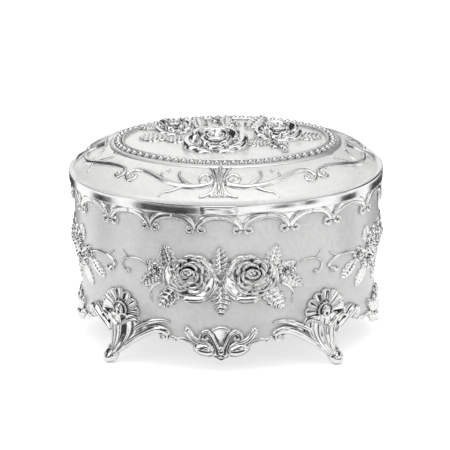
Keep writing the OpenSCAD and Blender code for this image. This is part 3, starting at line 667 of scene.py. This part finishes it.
def buildRim():
    bm = bmesh.new()
    sweepOval(bm, [(-1.3, 63.2), (-0.45, 63.2), (-0.12, 63.32), (0, 63.65), (0, 66.45), (-0.1, 66.9), (-0.42, 67.1), (-3.5, 67.1),
                   (-3.5, 63.95), (-1.3, 63.95)])
    # the flat seat behind, where the hinge leaf lies
    for v in bm.verts:
        if v.co.y > 46.15 and abs(v.co.x) < 10.2:
            v.co.y = 46.15
    creased(finishPiece("polishedRim", bm, "lid", "rim", ("lid_rim",)), 40)
    tab = bmesh.new()

    def shape(a, b):
        x = a * 7.0 * (1 - 0.06 * abs(b) ** 6)
        z = 65.15 + b * 1.85 * (1 - 0.05 * abs(a) ** 6)
        edge = max(abs(a) ** 8, abs(b) ** 6)
        w = 0.58 - 0.4 * edge - 0.1 * (abs(b) < 0.35)
        angle = math.asin(x / (sideR + w))
        return (math.sin(angle) * (sideR + w), sideY - math.cos(angle) * (sideR + w), z)

    made = bmesh.ops.create_grid(tab, x_segments=34, y_segments=14, size=1)["verts"]
    faces = list(tab.faces)
    raised = bmesh.ops.extrude_face_region(tab, geom=faces)["geom"]
    for v in [e for e in raised if isinstance(e, bmesh.types.BMVert)]:
        v.co = shape(v.co.x, v.co.y)
    for v in made:
        p = Vector(shape(v.co.x, v.co.y))
        v.co = (p.x, p.y + 1.0, p.z)
    finishPiece("thumbTab", tab, "lid", "rim", ("thumb_tab",))


def buildMoulding():
    bm = bmesh.new()
    d = 76.35
    sweepOval(bm, [(-15.75, d), (-16.1, d + 0.25), (-16.7, d + 0.6), (-17.3, d + 0.8), (-17.6, d + 0.75),
                   (-17.75, d + 0.4), (-18.6, d + 0.3), (-20.0, d + 0.3), (-20.4, d + 0.6), (-20.5, d + 1.5),
                   (-20.75, d + 1.8), (-21.25, d + 1.75), (-21.6, d + 1.2), (-21.6, d)])
    creased(finishPiece("ringMoulding", bm, "lid", "satin", ("ring_moulding",)), 60)


def buildPlate():
    bm = bmesh.new()
    sweepOval(bm, [(-21.65, 76.4), (-21.65, 77.12), (-22.1, 77.28), (-24, 77.3)], closed=False)
    capOval(bm, 77.3)
    capOval(bm, 76.4)
    creased(finishPiece("medallionPlate", bm, "lid", "lidEnamel", ("medallion_plate",)), 50)


buildDome()
buildRim()
buildMoulding()
buildPlate()
print("lid shell ready")

# Beads
beads = {"count": 70, "size": 2.6, "line": -19.05, "seat": 76.8}


def buildBeads():
    bm = bmesh.new()
    total = 4 * quarterRun
    lengths = 4 * (sideR + beads["line"]) * meet + 2 * (endR + beads["line"]) * (math.pi - 2 * meet)
    for i in range(beads["count"]):
        # equal steps on the bead line itself
        run = lengths * (i + 0.5) / beads["count"]
        half = lengths / 4
        side = int(run // half)
        part = run - side * half
        front = (sideR + beads["line"]) * meet
        if side % 2:
            part = half - part
        if part <= front:
            a = part / (sideR + beads["line"])
            p = Vector((math.sin(a) * (sideR + beads["line"]), sideY - math.cos(a) * (sideR + beads["line"])))
        else:
            a = meet + (part - front) / (endR + beads["line"])
            p = Vector((endX + math.sin(a) * (endR + beads["line"]), -math.cos(a) * (endR + beads["line"])))
        if side in (1, 2):
            p.y = -p.y
        if side >= 2:
            p.x = -p.x
        addBall(bm, p.x, p.y, beads["size"] / 2, w=beads["seat"] + 0.35, cuts=14)
    finishPiece("ringBeads", bm, "lid", "silver", ("ring_beads",))


buildBeads()
print("beads ready")

# Scallop border
scallops = {"pitch": 17.5, "each": 8, "drop": 5.8, "rail": 1.25, "waist": 1.5, "tail": 0.9, "eye": 1.5, "pearl": 0.46}


def buildScallops():
    wholeBm = bmesh.new()
    half = scallops["pitch"] / 2
    low = box["lidEdge"] - scallops["drop"]
    top = box["lidEdge"] - 0.85
    for i in range(-scallops["each"], scallops["each"] + 1):
        bm = bmesh.new()
        for s in (-1, 1):
            arch = [(0, top), (s * half * 0.3, top - 0.2), (s * half * 0.56, top - 0.9), (s * half * 0.76, top - 2.2),
                    (s * half * 0.9, top - 3.9), (s * (half - 0.7), low - 0.2)]
            addTube(bm, arch, scallops["rail"], scallops["tail"], lift=0.4, middle=scallops["waist"], steps=4, sides=4, flat=0.6)
            eye = (s * (half - 2.35), low - 0.35)
            addBall(bm, eye[0], eye[1], scallops["eye"] + 0.3, w=-0.6, cuts=16, flat=0.5)
            addTube(bm, curl(eye[0], eye[1], scallops["eye"], scallops["eye"] * 0.5, 90 - s * 90, -s * 0.9, 14), 0.72, 0.6,
                    lift=0.55, steps=2, sides=3)
            addBall(bm, eye[0] - s * 0.1, eye[1] + 0.1, 0.42, w=0.5, cuts=8)
            # row of pearls under the arch
            inner = curvePath([(s * 0.3, top - 1.55), (s * half * 0.32, top - 1.7), (s * half * 0.55, top - 2.6),
                               (s * half * 0.7, top - 4.2)], 3)
            for p in inner[::1]:
                addBall(bm, p[0], p[1], scallops["pearl"], w=0.22, cuts=7)
        # bright web between two arches, up to the lid
        if i < scallops["each"]:
            def web(a, b):
                t = (b + 1) / 2
                reach = 0.3 + (half * 0.62 - 0.3) * t ** 1.9
                z = low + 1.2 + (box["lidEdge"] - 0.2 - low - 1.2) * t
                return (half + a * reach, z, 0.2 + 0.4 * (1 - a * a) * t)
            addPad(bm, 10, 8, web, -0.3)
        onWall(bm, i * scallops["pitch"] * (sideR + midLine) / (sideR - 1.7))
        mesh = bpy.data.meshes.new("one")
        bm.to_mesh(mesh)
        bm.free()
        wholeBm.from_mesh(mesh)
        bpy.data.meshes.remove(mesh)
    finishPiece("scallopBorder", wholeBm, "body", "pale", ("scallop_border",))


buildScallops()
print("scallops ready")

# Rose sprays on the wall
spray = {"roseX": 11.7, "roseZ": 38.3, "roseR": 9.9, "high": 3.2, "endHigh": 1.8, "shift": 0.2,
         "barX": 9.8, "barZ": -8.6, "barLong": 4.8, "barTall": 1.35, "barOut": 3.3}


def buildLongSpray(name, middle, node):
    bm = bmesh.new()
    x0, z0, r = spray["roseX"], spray["roseZ"], spray["roseR"]
    for s in (-1, 1):
        addLeaf(bm, (s * 18.4, z0 + 2.6), -s * 14, 10.0, 7.0)
        addLeaf(bm, (s * 15.6, z0 - 4.2), -s * 140, 12.8, 8.2)
        addLeaf(bm, (s * 22.6, z0 - 0.4), -s * 124, 9.4, 6.4)
        addLeaf(bm, (s * 21.0, z0 + 3.0), -s * 78, 7.0, 4.4, high=0.7)
        addFlower(bm, (s * 24.4, z0 + 1.0), 3.6, turn=90, high=1.2)
        # tendril with its bud, spur and hanging tail
        addTube(bm, [(s * 27.5, z0 + 3.0), (s * 31, z0 + 4.6), (s * 34.6, z0 + 4.6), (s * 37.0, z0 + 2.6),
                     (s * 36.8, z0 + 0.2), (s * 35.2, z0 - 1.4), (s * 34.2, z0 - 0.6)], 0.55, 0.4, lift=0.15)
        addBall(bm, s * 35.0, z0 - 0.9, 1.0, w=0.4, cuts=10)
        addTube(bm, [(s * 34.6, z0 + 4.4), (s * 35.6, z0 + 5.6), (s * 36.6, z0 + 7.4)], 0.45, 0.2, lift=0.1)
        addTube(bm, [(s * 22.4, z0 - 3.0), (s * 25.4, z0 - 5.2), (s * 26.8, z0 - 8.2), (s * 26.2, z0 - 12.0)], 1.0, 0.25, lift=0.1)
    addLeaf(bm, (0, z0 + 1.0), 0, 11.4, 7.6, high=1.1)
    addLeaf(bm, (0, z0 - 3.4), 180, 12.4, 8.2, high=1.1)
    for s in (-1, 1):
        # outermost petals: a level bar below, a sweep up to the middle, and the upper inner lobe
        addPetal(bm, (s * (x0 - 0.4), z0 + 0.8), -90 + s * 8, 100, r * 0.6, r * 0.98, 0.3, 1.5, nx=24, ny=12, drop=0.4)
        def bar(a, b, s=s):
            tall = spray["barTall"] * (1 - a ** 4) ** 0.5 if abs(a) < 1 else 0.05
            w = spray["barOut"] - 0.5 * b - 0.8 * b * b - 1.8 * a ** 6
            return (s * (spray["barX"] + spray["barLong"] * a), z0 + spray["barZ"] + 0.6 * a * a + b * tall, w)
        addPad(bm, 22, 8, bar, 0.0)
        addTube(bm, [(s * 5.8, z0 - 8.9), (s * 3.8, z0 - 7.0), (s * 2.2, z0 - 4.6), (s * 1.0, z0 - 2.2)], 1.2, 0.55,
                lift=1.0, sides=4)
        addPetal(bm, (s * (x0 - 0.2), z0 + 0.2), -90 - s * 66, 96, r * 0.6, r * 1.1, 0.4, 2.4, nx=24, ny=12,
                 drop=0.5)
        addPetal(bm, (s * (x0 - 0.4), z0 + 0.4), 90 + s * 52, 88, r * 0.5, r * 1.0, 0.3, 2.0, nx=20, ny=9, drop=0.35)
        addPetal(bm, (s * x0, z0 + 0.2), 90 - s * 92, 90, r * 0.55, r * 1.0, 0.3, 1.9, nx=20, ny=9, drop=0.4)
        addRose(bm, (s * x0, z0 + 0.8), r * 0.84, spray["high"], flip=s, lean=(-0.1, 1.2))
    # small V where the two roses meet
    addTube(bm, [(-1.5, z0 + 0.2), (0, z0 - 1.4), (1.5, z0 + 0.2)], 0.55, 0.55, lift=1.4)
    onWall(bm, middle + spray["shift"], bend=sideR + midLine)
    finishPiece(name, bm, "body", "silver", (node,))


def buildEndSpray(name, middle, node):
    bm = bmesh.new()
    z0, r = spray["roseZ"], spray["roseR"] * 0.92
    for s in (-1, 1):
        addLeaf(bm, (s * 16.6, z0 + 4.6), -s * 16, 7.4, 6.0, high=0.5)
        addLeaf(bm, (s * 17.2, z0 - 5.2), -s * 142, 8.6, 6.4, high=0.5)
        addLeaf(bm, (s * 23.4, z0 - 0.6), -s * 140, 7.8, 5.6, high=0.5)
        addLeaf(bm, (s * 6.0, z0 - 4.6), -s * 160, 9.4, 5.6, high=0.8)
        # half-open rose beside the full one, with its blossom below
        addRose(bm, (s * 11.4, z0 + 4.0), 5.9, 2.7, flip=s, lean=(0.5, 0.6))
        addPetal(bm, (s * 11.4, z0 + 3.6), -90 + s * 30, 120, 2.6, 6.6, 0.3, 2.0, nx=20, ny=9)
        addFlower(bm, (s * 15.4, z0 - 2.4), 4.6, turn=-90, high=1.7)
        addFlower(bm, (s * 21.6, z0 + 1.2), 3.2, turn=90, high=1.1)
        addTube(bm, [(s * 23.8, z0 + 2.6), (s * 27.0, z0 + 3.8), (s * 30.0, z0 + 3.4), (s * 32.0, z0 + 1.2),
                     (s * 31.4, z0 - 1.0), (s * 30.4, z0 - 1.6)], 0.6, 0.45, lift=0.15)
        addBall(bm, s * 30.7, z0 - 1.5, 1.2, w=0.4, cuts=12)
        addTube(bm, [(s * 29.8, z0 + 3.4), (s * 31.0, z0 + 4.6), (s * 32.0, z0 + 6.0)], 0.42, 0.2, lift=0.1)
    addRose(bm, (0, z0 + 0.8), r, spray["endHigh"], lean=(0, 1.2))
    onWall(bm, middle, bend=endR + midLine)
    finishPiece(name, bm, "body", "silver", (node,))


buildLongSpray("frontRoses", 0.0, "front_rose_spray")
buildLongSpray("backRoses", 2 * quarterRun, "back_rose_spray")
buildEndSpray("rightRose", quarterRun, "right_rose_spray")
buildEndSpray("leftRose", -quarterRun, "left_rose_spray")
print("rose sprays ready")

# Apron cartouches
apron = {"tip": 4.0, "drop": [(0, 0.5), (0.2, 1.9), (0.42, 3.7), (0.7, 2.6), (1, 1.4)]}


def buildCartouche(name, middle, node, bend):
    bm = bmesh.new()

    # smooth shield over the two scrolls
    def shield(a, b):
        t = (b + 1) / 2
        half = 0.35 + 3.5 * t ** 1.25
        z = 12.2 + 6.4 * t - 1.2 * a * a * t
        return (a * half, z, 1.5 + 0.25 * a * a - 0.9 * max(0.0, (t - 0.86) / 0.14) ** 2)
    addPad(bm, 16, 12, shield)

    def drop(a, b):
        t = (b + 1) / 2
        half = between(apron["drop"], t)
        return (a * half, apron["tip"] + 6.6 * t, 1.0 + 1.3 * (1 - a * a) ** 0.7 * math.sin(math.pi * min(1, 0.2 + t)))
    addPad(bm, 16, 12, drop)
    addBall(bm, 0, 8.9, 1.3, w=1.3, sy=1.5, flat=0.8, cuts=16)
    for s in (-1, 1):
        addTube(bm, [(s * 1.2, 7.2), (s * 1.5, 9.8), (s * 2.3, 12.4), (s * 3.5, 14.9), (s * 5.2, 16.3), (s * 7.0, 15.7),
                     (s * 7.4, 13.9), (s * 6.2, 12.9), (s * 5.0, 13.6), (s * 5.4, 14.5)], 1.0, 0.55, lift=1.0, middle=1.2,
                sides=4)
        addTube(bm, [(s * 2.8, 7.4), (s * 3.6, 10.0), (s * 5.6, 11.5), (s * 8.4, 12.2), (s * 10.6, 13.6), (s * 12.3, 16.0)],
                0.85, 1.6, lift=0.7, sides=4)
        addBall(bm, s * 12.5, 16.3, 1.6, w=0.7, sy=1.2, turn=-s * 30, cuts=16)
        # round lobe with a rim below
        addBall(bm, s * 6.4, 9.3, 2.5, w=0.3, sx=1.75, flat=1.0, turn=s * 14, cuts=24)
        addTube(bm, [(s * 0.8, 6.8), (s * 4.2, 6.5), (s * 7.0, 6.9), (s * 9.4, 8.2), (s * 10.8, 10.2), (s * 10.4, 11.6)],
                0.7, 0.6, lift=0.3, middle=0.85)
        # narrow moulding along the wall's lower edge, out to the foot
        addTube(bm, [(s * 10.8, 11.4), (s * 14.6, 12.6), (s * 17.2, 12.4), (s * 18.6, 12.9), (s * 21, 13.2)], 0.95, 0.8, lift=0.15)
        addBall(bm, s * 17.4, 12.3, 1.2, w=0.2, cuts=10)
    onWall(bm, middle, bend=bend)
    finishPiece(name, bm, "body", "smooth", (node,))


buildCartouche("frontDrop", 0.0, "front_cartouche", sideR + midLine)
buildCartouche("backDrop", 2 * quarterRun, "back_cartouche", sideR + midLine)
buildCartouche("rightDrop", quarterRun, "right_cartouche", endR + midLine)
buildCartouche("leftDrop", -quarterRun, "left_cartouche", endR + midLine)
print("cartouches ready")

# Feet
foot = {"run": 41.1, "splay": 3.8, "sway": 2.2, "ball": 3.0,
        "long": ([(2.6, 5.6), (4.6, 7.6), (7.4, 10.4), (10.6, 13.0), (14.4, 15.2), (18.0, 15.8), (20.6, 14.6), (20.2, 12.5),
                  (18.4, 12.3), (17.9, 13.9)],
                 [(5.4, 12.4), (8.0, 15.2), (11.2, 17.2), (14.8, 18.6), (18.4, 19.2), (21.4, 18.8)], (19.2, 13.7)),
        "end": ([(3.4, 12.0), (5.4, 13.4), (8.0, 14.6), (10.8, 16.0), (13.6, 17.8), (16.0, 17.8), (16.6, 15.8), (15.0, 14.9),
                 (14.0, 16.2)],
                [(5.0, 15.4), (7.6, 17.6), (10.4, 19.4), (13.4, 20.4)], (14.9, 16.4))}


# The leg leans out and towards the end as it goes down
def footSpread(x, z, w):
    t = max(0.0, (19.0 - z) / 16.4)
    near = math.exp(-(x / 9.0) ** 4)
    return x + foot["sway"] * t ** 1.15 * near, w + foot["splay"] * t ** 1.35 * near


def buildFoot(name, side, back, node):
    bm = bmesh.new()
    cz = 20.2
    for i in range(-3, 4):
        lobeTurn = -i * 27
        reach = 9.6 - 0.25 * abs(i)

        def lobe(a, b, lobeTurn=lobeTurn, reach=reach):
            t = (b + 1) / 2
            half = (0.55 + 1.75 * t) * math.sqrt(max(0.01, 1 - max(0.0, (t - 0.72) / 0.28) ** 2))
            w = 0.5 + 0.8 * t ** 1.5 - 0.4 * (t > 0.94) + 0.45 * math.exp(-((abs(a) - 0.66) / 0.2) ** 2)
            return turned((a * half, 2.2 + (reach - 2.2) * t, w), lobeTurn, (0, cz))
        addPad(bm, 10, 14, lobe)
    addBall(bm, 0, cz + 0.6, 1.8, w=1.1, sy=1.5, flat=0.9, cuts=18)
    addTube(bm, curl(0, cz + 0.8, 3.0, 3.0, -30, 0.67, 18), 0.4, 0.4, lift=1.2, steps=2)
    for i in range(9):
        a = math.radians(-10 + 25 * i)
        addBall(bm, 3.2 * math.cos(a), cz + 0.8 + 3.6 * math.sin(a), 0.36, w=1.5, cuts=7)

    def leg(a, b):
        t = (b + 1) / 2
        z = 4.4 + 15.0 * t
        # the leaf spreads towards the middle of the side, where its arm is long
        outer = between([(4.4, 0.9), (6, 1.0), (9, 2.2), (12, 3.8), (15, 5.8), (17.5, 7.4), (19.5, 6.6)], z)
        inner = between([(4.4, 3.4), (6, 4.9), (9, 7.2), (12, 8.8), (15, 9.4), (17.5, 8.8), (19.5, 7.0)], z)
        flute = 0.3 * math.cos(a * math.pi * 3)
        w = 0.4 + 1.5 * (1 - abs(a) ** 2.2) + flute * (1 - 0.3 * abs(a))
        w += 0.5 * (1 - t) ** 2
        return ((outer - inner) / 2 + a * (outer + inner) / 2, z, w)
    addPad(bm, 30, 24, leg, -1.4)
    for s in (-1, 1):
        # folded leaf lips at the top of the leg
        addTube(bm, [(0, 14.8), (s * 2.0, 15.8), (s * 4.4, 17.6), (s * 7.2, 18.2), (s * 9.0, 17.0)], 0.6, 0.5,
                lift=1.9, middle=0.8)
        # side arm up and out to its scroll, with a leaf lip over it
        arm, lip, eye = foot["end"] if s > 0 else foot["long"]
        addTube(bm, [(s * x, z) for x, z in arm], 0.9, 0.75, lift=0.7, middle=1.7, sides=4)
        addTube(bm, [(s * x, z) for x, z in lip], 1.0, 0.35, lift=0.45, middle=1.4, sides=3)
        addBall(bm, s * eye[0], eye[1], 1.2, w=0.9, cuts=12)
    addBall(bm, 0, 2.95, foot["ball"], w=0.2, cuts=24)
    addTube(bm, curl(0, 5.4, 1.7, 1.7, 0, 1.0, 16), 0.5, 0.5, lift=0.6, steps=2)
    onWall(bm, foot["run"], spread=footSpread)
    for v in bm.verts:
        v.co.z = max(v.co.z, 0.02)
    if side < 0:
        bmesh.ops.scale(bm, vec=(-1, 1, 1), verts=bm.verts)
    if back:
        bmesh.ops.scale(bm, vec=(1, -1, 1), verts=bm.verts)
    finishPiece(name, bm, "body", "silver", (node,))


buildFoot("frontRightFoot", 1, False, "front_right_foot")
buildFoot("frontLeftFoot", -1, False, "front_left_foot")
buildFoot("backRightFoot", 1, True, "back_right_foot")
buildFoot("backLeftFoot", -1, True, "back_left_foot")
print("feet ready")

# Scrolls on the dome
domeOrnament = {"stem": 0.62, "thin": 0.38}


def buildLongScrolls(name, side, node):
    bm = bmesh.new()
    for s in (-1, 1):
        addTube(bm, [(s * 2.6, -37.6), (s * 3.8, -39.2), (s * 8.4, -39.9), (s * 12.8, -39.2), (s * 17.0, -37.6), (s * 20.8, -35.4),
                     (s * 24.6, -32.0), (s * 28.4, -28.8), (s * 32.0, -27.4), (s * 35.0, -28.6), (s * 34.8, -31.0),
                     (s * 32.6, -31.8), (s * 31.4, -30.4), (s * 32.6, -29.6)], 1.0, 0.6, lift=0.15, middle=0.85)
        addBall(bm, s * 32.8, -30.6, 0.85, w=0.3, cuts=10)
        addTube(bm, [(s * 10.0, -39.8), (s * 12.6, -37.6), (s * 14.9, -34.8), (s * 15.0, -32.6), (s * 14.2, -31.8)], 0.9, 0.5,
                lift=0.05)
        addTube(bm, [(s * 16.2, -38.0), (s * 20.0, -35.6), (s * 21.9, -32.6), (s * 20.6, -30.4), (s * 18.8, -30.6), (s * 19.2, -31.8)],
                0.5, 0.4, lift=0.05)
        addTube(bm, [(s * 13.6, -39.4), (s * 17.6, -40.4), (s * 20.4, -40.4), (s * 22.4, -41.8)], 0.7, 0.3, lift=0.05)
        # spiral beside the palmette
        addTube(bm, [(s * 2.0, -38.2), (s * 3.0, -36.0), (s * 4.6, -34.6), (s * 6.8, -35.2), (s * 7.4, -37.0), (s * 6.2, -38.4),
                     (s * 4.8, -37.8), (s * 5.2, -36.6)], 0.7, 0.4, lift=0.1)
        addTube(bm, [(s * 1.2, -38.6), (s * 2.0, -41.6), (s * 4.0, -43.6), (s * 7.2, -44.2)], 0.9, 0.4, lift=0.2)

    def palmette(a, b):
        t = (b + 1) / 2
        half = between([(0, 3.4), (0.25, 2.0), (0.5, 1.5), (0.75, 2.6), (1, 4.2)], t)
        y = -44.4 + 12.4 * t + 0.5 * math.cos(a * math.pi * 2) * (t > 0.8)
        return (a * half, y, 0.45 + 0.45 * (1 - a * a) + 0.22 * math.cos(a * math.pi * 4))
    addPad(bm, 24, 18, palmette)
    addBall(bm, 0, -41.2, 0.8, w=0.9, sy=2.0, cuts=10)
    onDome(bm)
    if side < 0:
        bmesh.ops.rotate(bm, cent=(0, 0, 0), matrix=Matrix.Rotation(math.pi, 3, "Z"), verts=bm.verts)
    finishPiece(name, bm, "lid", "pale", (node,))


def buildEndScrolls(name, side, node):
    bm = bmesh.new()
    # drawn at the right-hand end: x outwards, y along the side
    for s in (-1, 1):
        addTube(bm, [(52.8, s * 2.2), (53.2, s * 6.0), (52.0, s * 10.0), (49.8, s * 13.4), (46.8, s * 16.2), (43.6, s * 18.8),
                     (40.6, s * 21.0), (37.8, s * 23.2), (36.0, s * 25.6), (36.6, s * 28.0), (38.8, s * 28.2), (39.6, s * 26.6)],
                1.05, 0.6, lift=0.15, middle=0.9)
        addBall(bm, 38.3, s * 26.9, 0.95, w=0.3, cuts=10)
        addTube(bm, [(48.6, s * 14.8), (46.4, s * 14.6), (43.6, s * 15.4), (41.2, s * 15.4), (40.2, s * 13.8), (41.4, s * 12.8)],
                0.55, 0.4, lift=0.05)
        addTube(bm, [(49.2, s * 14.0), (50.0, s * 16.4), (51.2, s * 18.4)], 0.7, 0.3, lift=0.05)
        addTube(bm, [(46.0, s * 6.6), (48.2, s * 9.8), (50.6, s * 11.6)], 0.6, 0.35, lift=0.05)

    def palmette(a, b):
        t = (b + 1) / 2
        half = between([(0, 4.0), (0.3, 1.8), (0.55, 1.6), (0.8, 2.6), (1, 3.8)], t)
        return (45.4 + 11.6 * t, a * half, 0.45 + 0.45 * (1 - a * a) + 0.22 * math.cos(a * math.pi * 4))
    addPad(bm, 24, 18, palmette)
    onDome(bm)
    if side < 0:
        bmesh.ops.rotate(bm, cent=(0, 0, 0), matrix=Matrix.Rotation(math.pi, 3, "Z"), verts=bm.verts)
    finishPiece(name, bm, "lid", "pale", (node,))


buildLongScrolls("frontScrolls", 1, "front_lid_scrolls")
buildLongScrolls("backScrolls", -1, "back_lid_scrolls")
buildEndScrolls("rightScrolls", 1, "right_lid_scrolls")
buildEndScrolls("leftScrolls", -1, "left_lid_scrolls")
print("dome scrolls ready")

# Rose group on the medallion
medallion = {"centre": (-3.2, -7.4, 12.0, 5.2), "left": (-20.4, 10.4, 7.4, 4.4), "right": (20.0, 4.6, 9.0, 4.6)}


def lieOnPlate(bm, tilt=0.0, about=(0, 0)):
    for v in bm.verts:
        v.co.z += box["plateTop"]


def buildLidRose(name, key, node, lean, turn=0.0):
    x, y, r, high = medallion[key]
    bm = bmesh.new()
    addRose(bm, (x, y), r, high, lean=lean, turn=turn, tiers=(), single=lidPetals)
    # the rose faces forwards: high behind, low in front
    for v in bm.verts:
        if v.co.z > 0:
            v.co.z *= between([(-1, 0.6), (0.1, 1.0), (1, 1.16)], (v.co.y - y) / r)
    lieOnPlate(bm)
    finishPiece(name, bm, "lid", "smooth", (node,))


def buildLidLeaves():
    bm = bmesh.new()
    for at, turn, long, broad in [((-22.4, 0.6), 92, 10.6, 8.6), ((-13.6, -1.2), 94, 9.4, 7.6), ((27.6, 2.4), -92, 9.0, 7.6),
                                  ((8.8, 12.4), -22, 12.0, 9.0), ((9.0, -4.6), -100, 7.6, 8.6), ((-10.6, 13.6), 12, 9.4, 7.4),
                                  ((-27.4, 12.6), 74, 7.4, 5.4), ((-0.6, 15.6), 4, 8.8, 6.4)]:
        # each leaf lifts towards the back, so that it shows its face
        for v in addLeaf(bm, at, turn, long, broad, high=0.8):
            if v.co.z > -0.3:
                v.co.z += 0.5 + 0.14 * (v.co.y - at[1])
    lieOnPlate(bm)
    finishPiece("medallionLeaves", bm, "lid", "pale", ("lid_leaves",))


def buildLidFlowers():
    bm = bmesh.new()
    addFlower(bm, (20.6, -7.4), 4.0, turn=90, high=1.2)
    addBall(bm, 23.2, -14.2, 1.5, w=0.8, cuts=12)
    addTube(bm, [(21.4, -10.4), (22.4, -12.4), (23.2, -14.0)], 0.5, 0.5, lift=0.4)
    addFlower(bm, (-4.3, 23.2), 3.2, turn=90, high=1.4)
    addFlower(bm, (1.4, 18.0), 3.4, turn=60, high=1.4)
    lieOnPlate(bm)
    finishPiece("medallionFlowers", bm, "lid", "silver", ("lid_flowers",))


buildLidRose("centreRose", "centre", "centre_lid_rose", (0.0, -1.6))
buildLidRose("leftSmallRose", "left", "left_lid_rose", (0.0, -0.4), 25)
buildLidRose("rightSmallRose", "right", "right_lid_rose", (0.0, -0.4), -20)
buildLidLeaves()
buildLidFlowers()
print("medallion ready")

# Velvet
velvet = {"wallThick": 1.0, "padHigh": 3.0, "seam": 0.5}


def buildVelvet():
    bm = bmesh.new()
    outLow, outTop = -5.7, -3.6
    sweepOval(bm, [(outLow, 16.8), (outLow, 18.5), (outTop, 50.5), (outTop, 62.3), (outTop - 0.35, 62.75), (outTop - 0.7, 62.75),
                   (outTop - 1.0, 62.2), (outTop - 1.0, 50.5), (outLow - 0.9, 22.0), (outLow - 0.9, 16.8)])
    creased(finishPiece("velvetWall", bm, "body", "velvet", ("wall_lining",)), 60)
    pad = bmesh.new()
    sweepOval(pad, [(-26.0, 16.75), (-7.4, 16.75), (-7.0, 17.3), (-7.0, 18.2), (-7.35, 18.75), (-7.55, 18.6), (-7.9, 18.75),
                    (-9.4, 19.25), (-13.0, 19.55), (-19.0, 19.68), (-26.0, 19.7)], closed=False)
    capOval(pad, 19.7)
    capOval(pad, 16.75)
    cushion = finishPiece("floorCushion", pad, "body", "velvet", ("floor_cushion",))
    lid = bmesh.new()
    sweepOval(lid, [(-26.0, 73.75), (-19.0, 73.72), (-17.8, 73.8), (-17.2, 74.05), (-17.05, 74.4), (-17.1, 74.68), (-26.0, 74.68)],
              closed=False)
    capOval(lid, 73.75)
    capOval(lid, 74.68)
    lining = finishPiece("velvetLid", lid, "lid", "velvet", ("lid_lining",))


buildVelvet()
print("velvet ready")

# CAD nodes that stay
kept = {"floor_plate": "plain", "hinge_body_leaf": "leafMetal", "hinge_lid_leaf": "leafMetal", "hinge_pin": "pin",
        "body_leaf_rivets": "leafMetal", "lid_leaf_rivets": "leafMetal"}
for node, finish in kept.items():
    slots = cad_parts[node].material_slots
    for place in slots:
        place.material = finishes[finish]

print("all pieces in place")
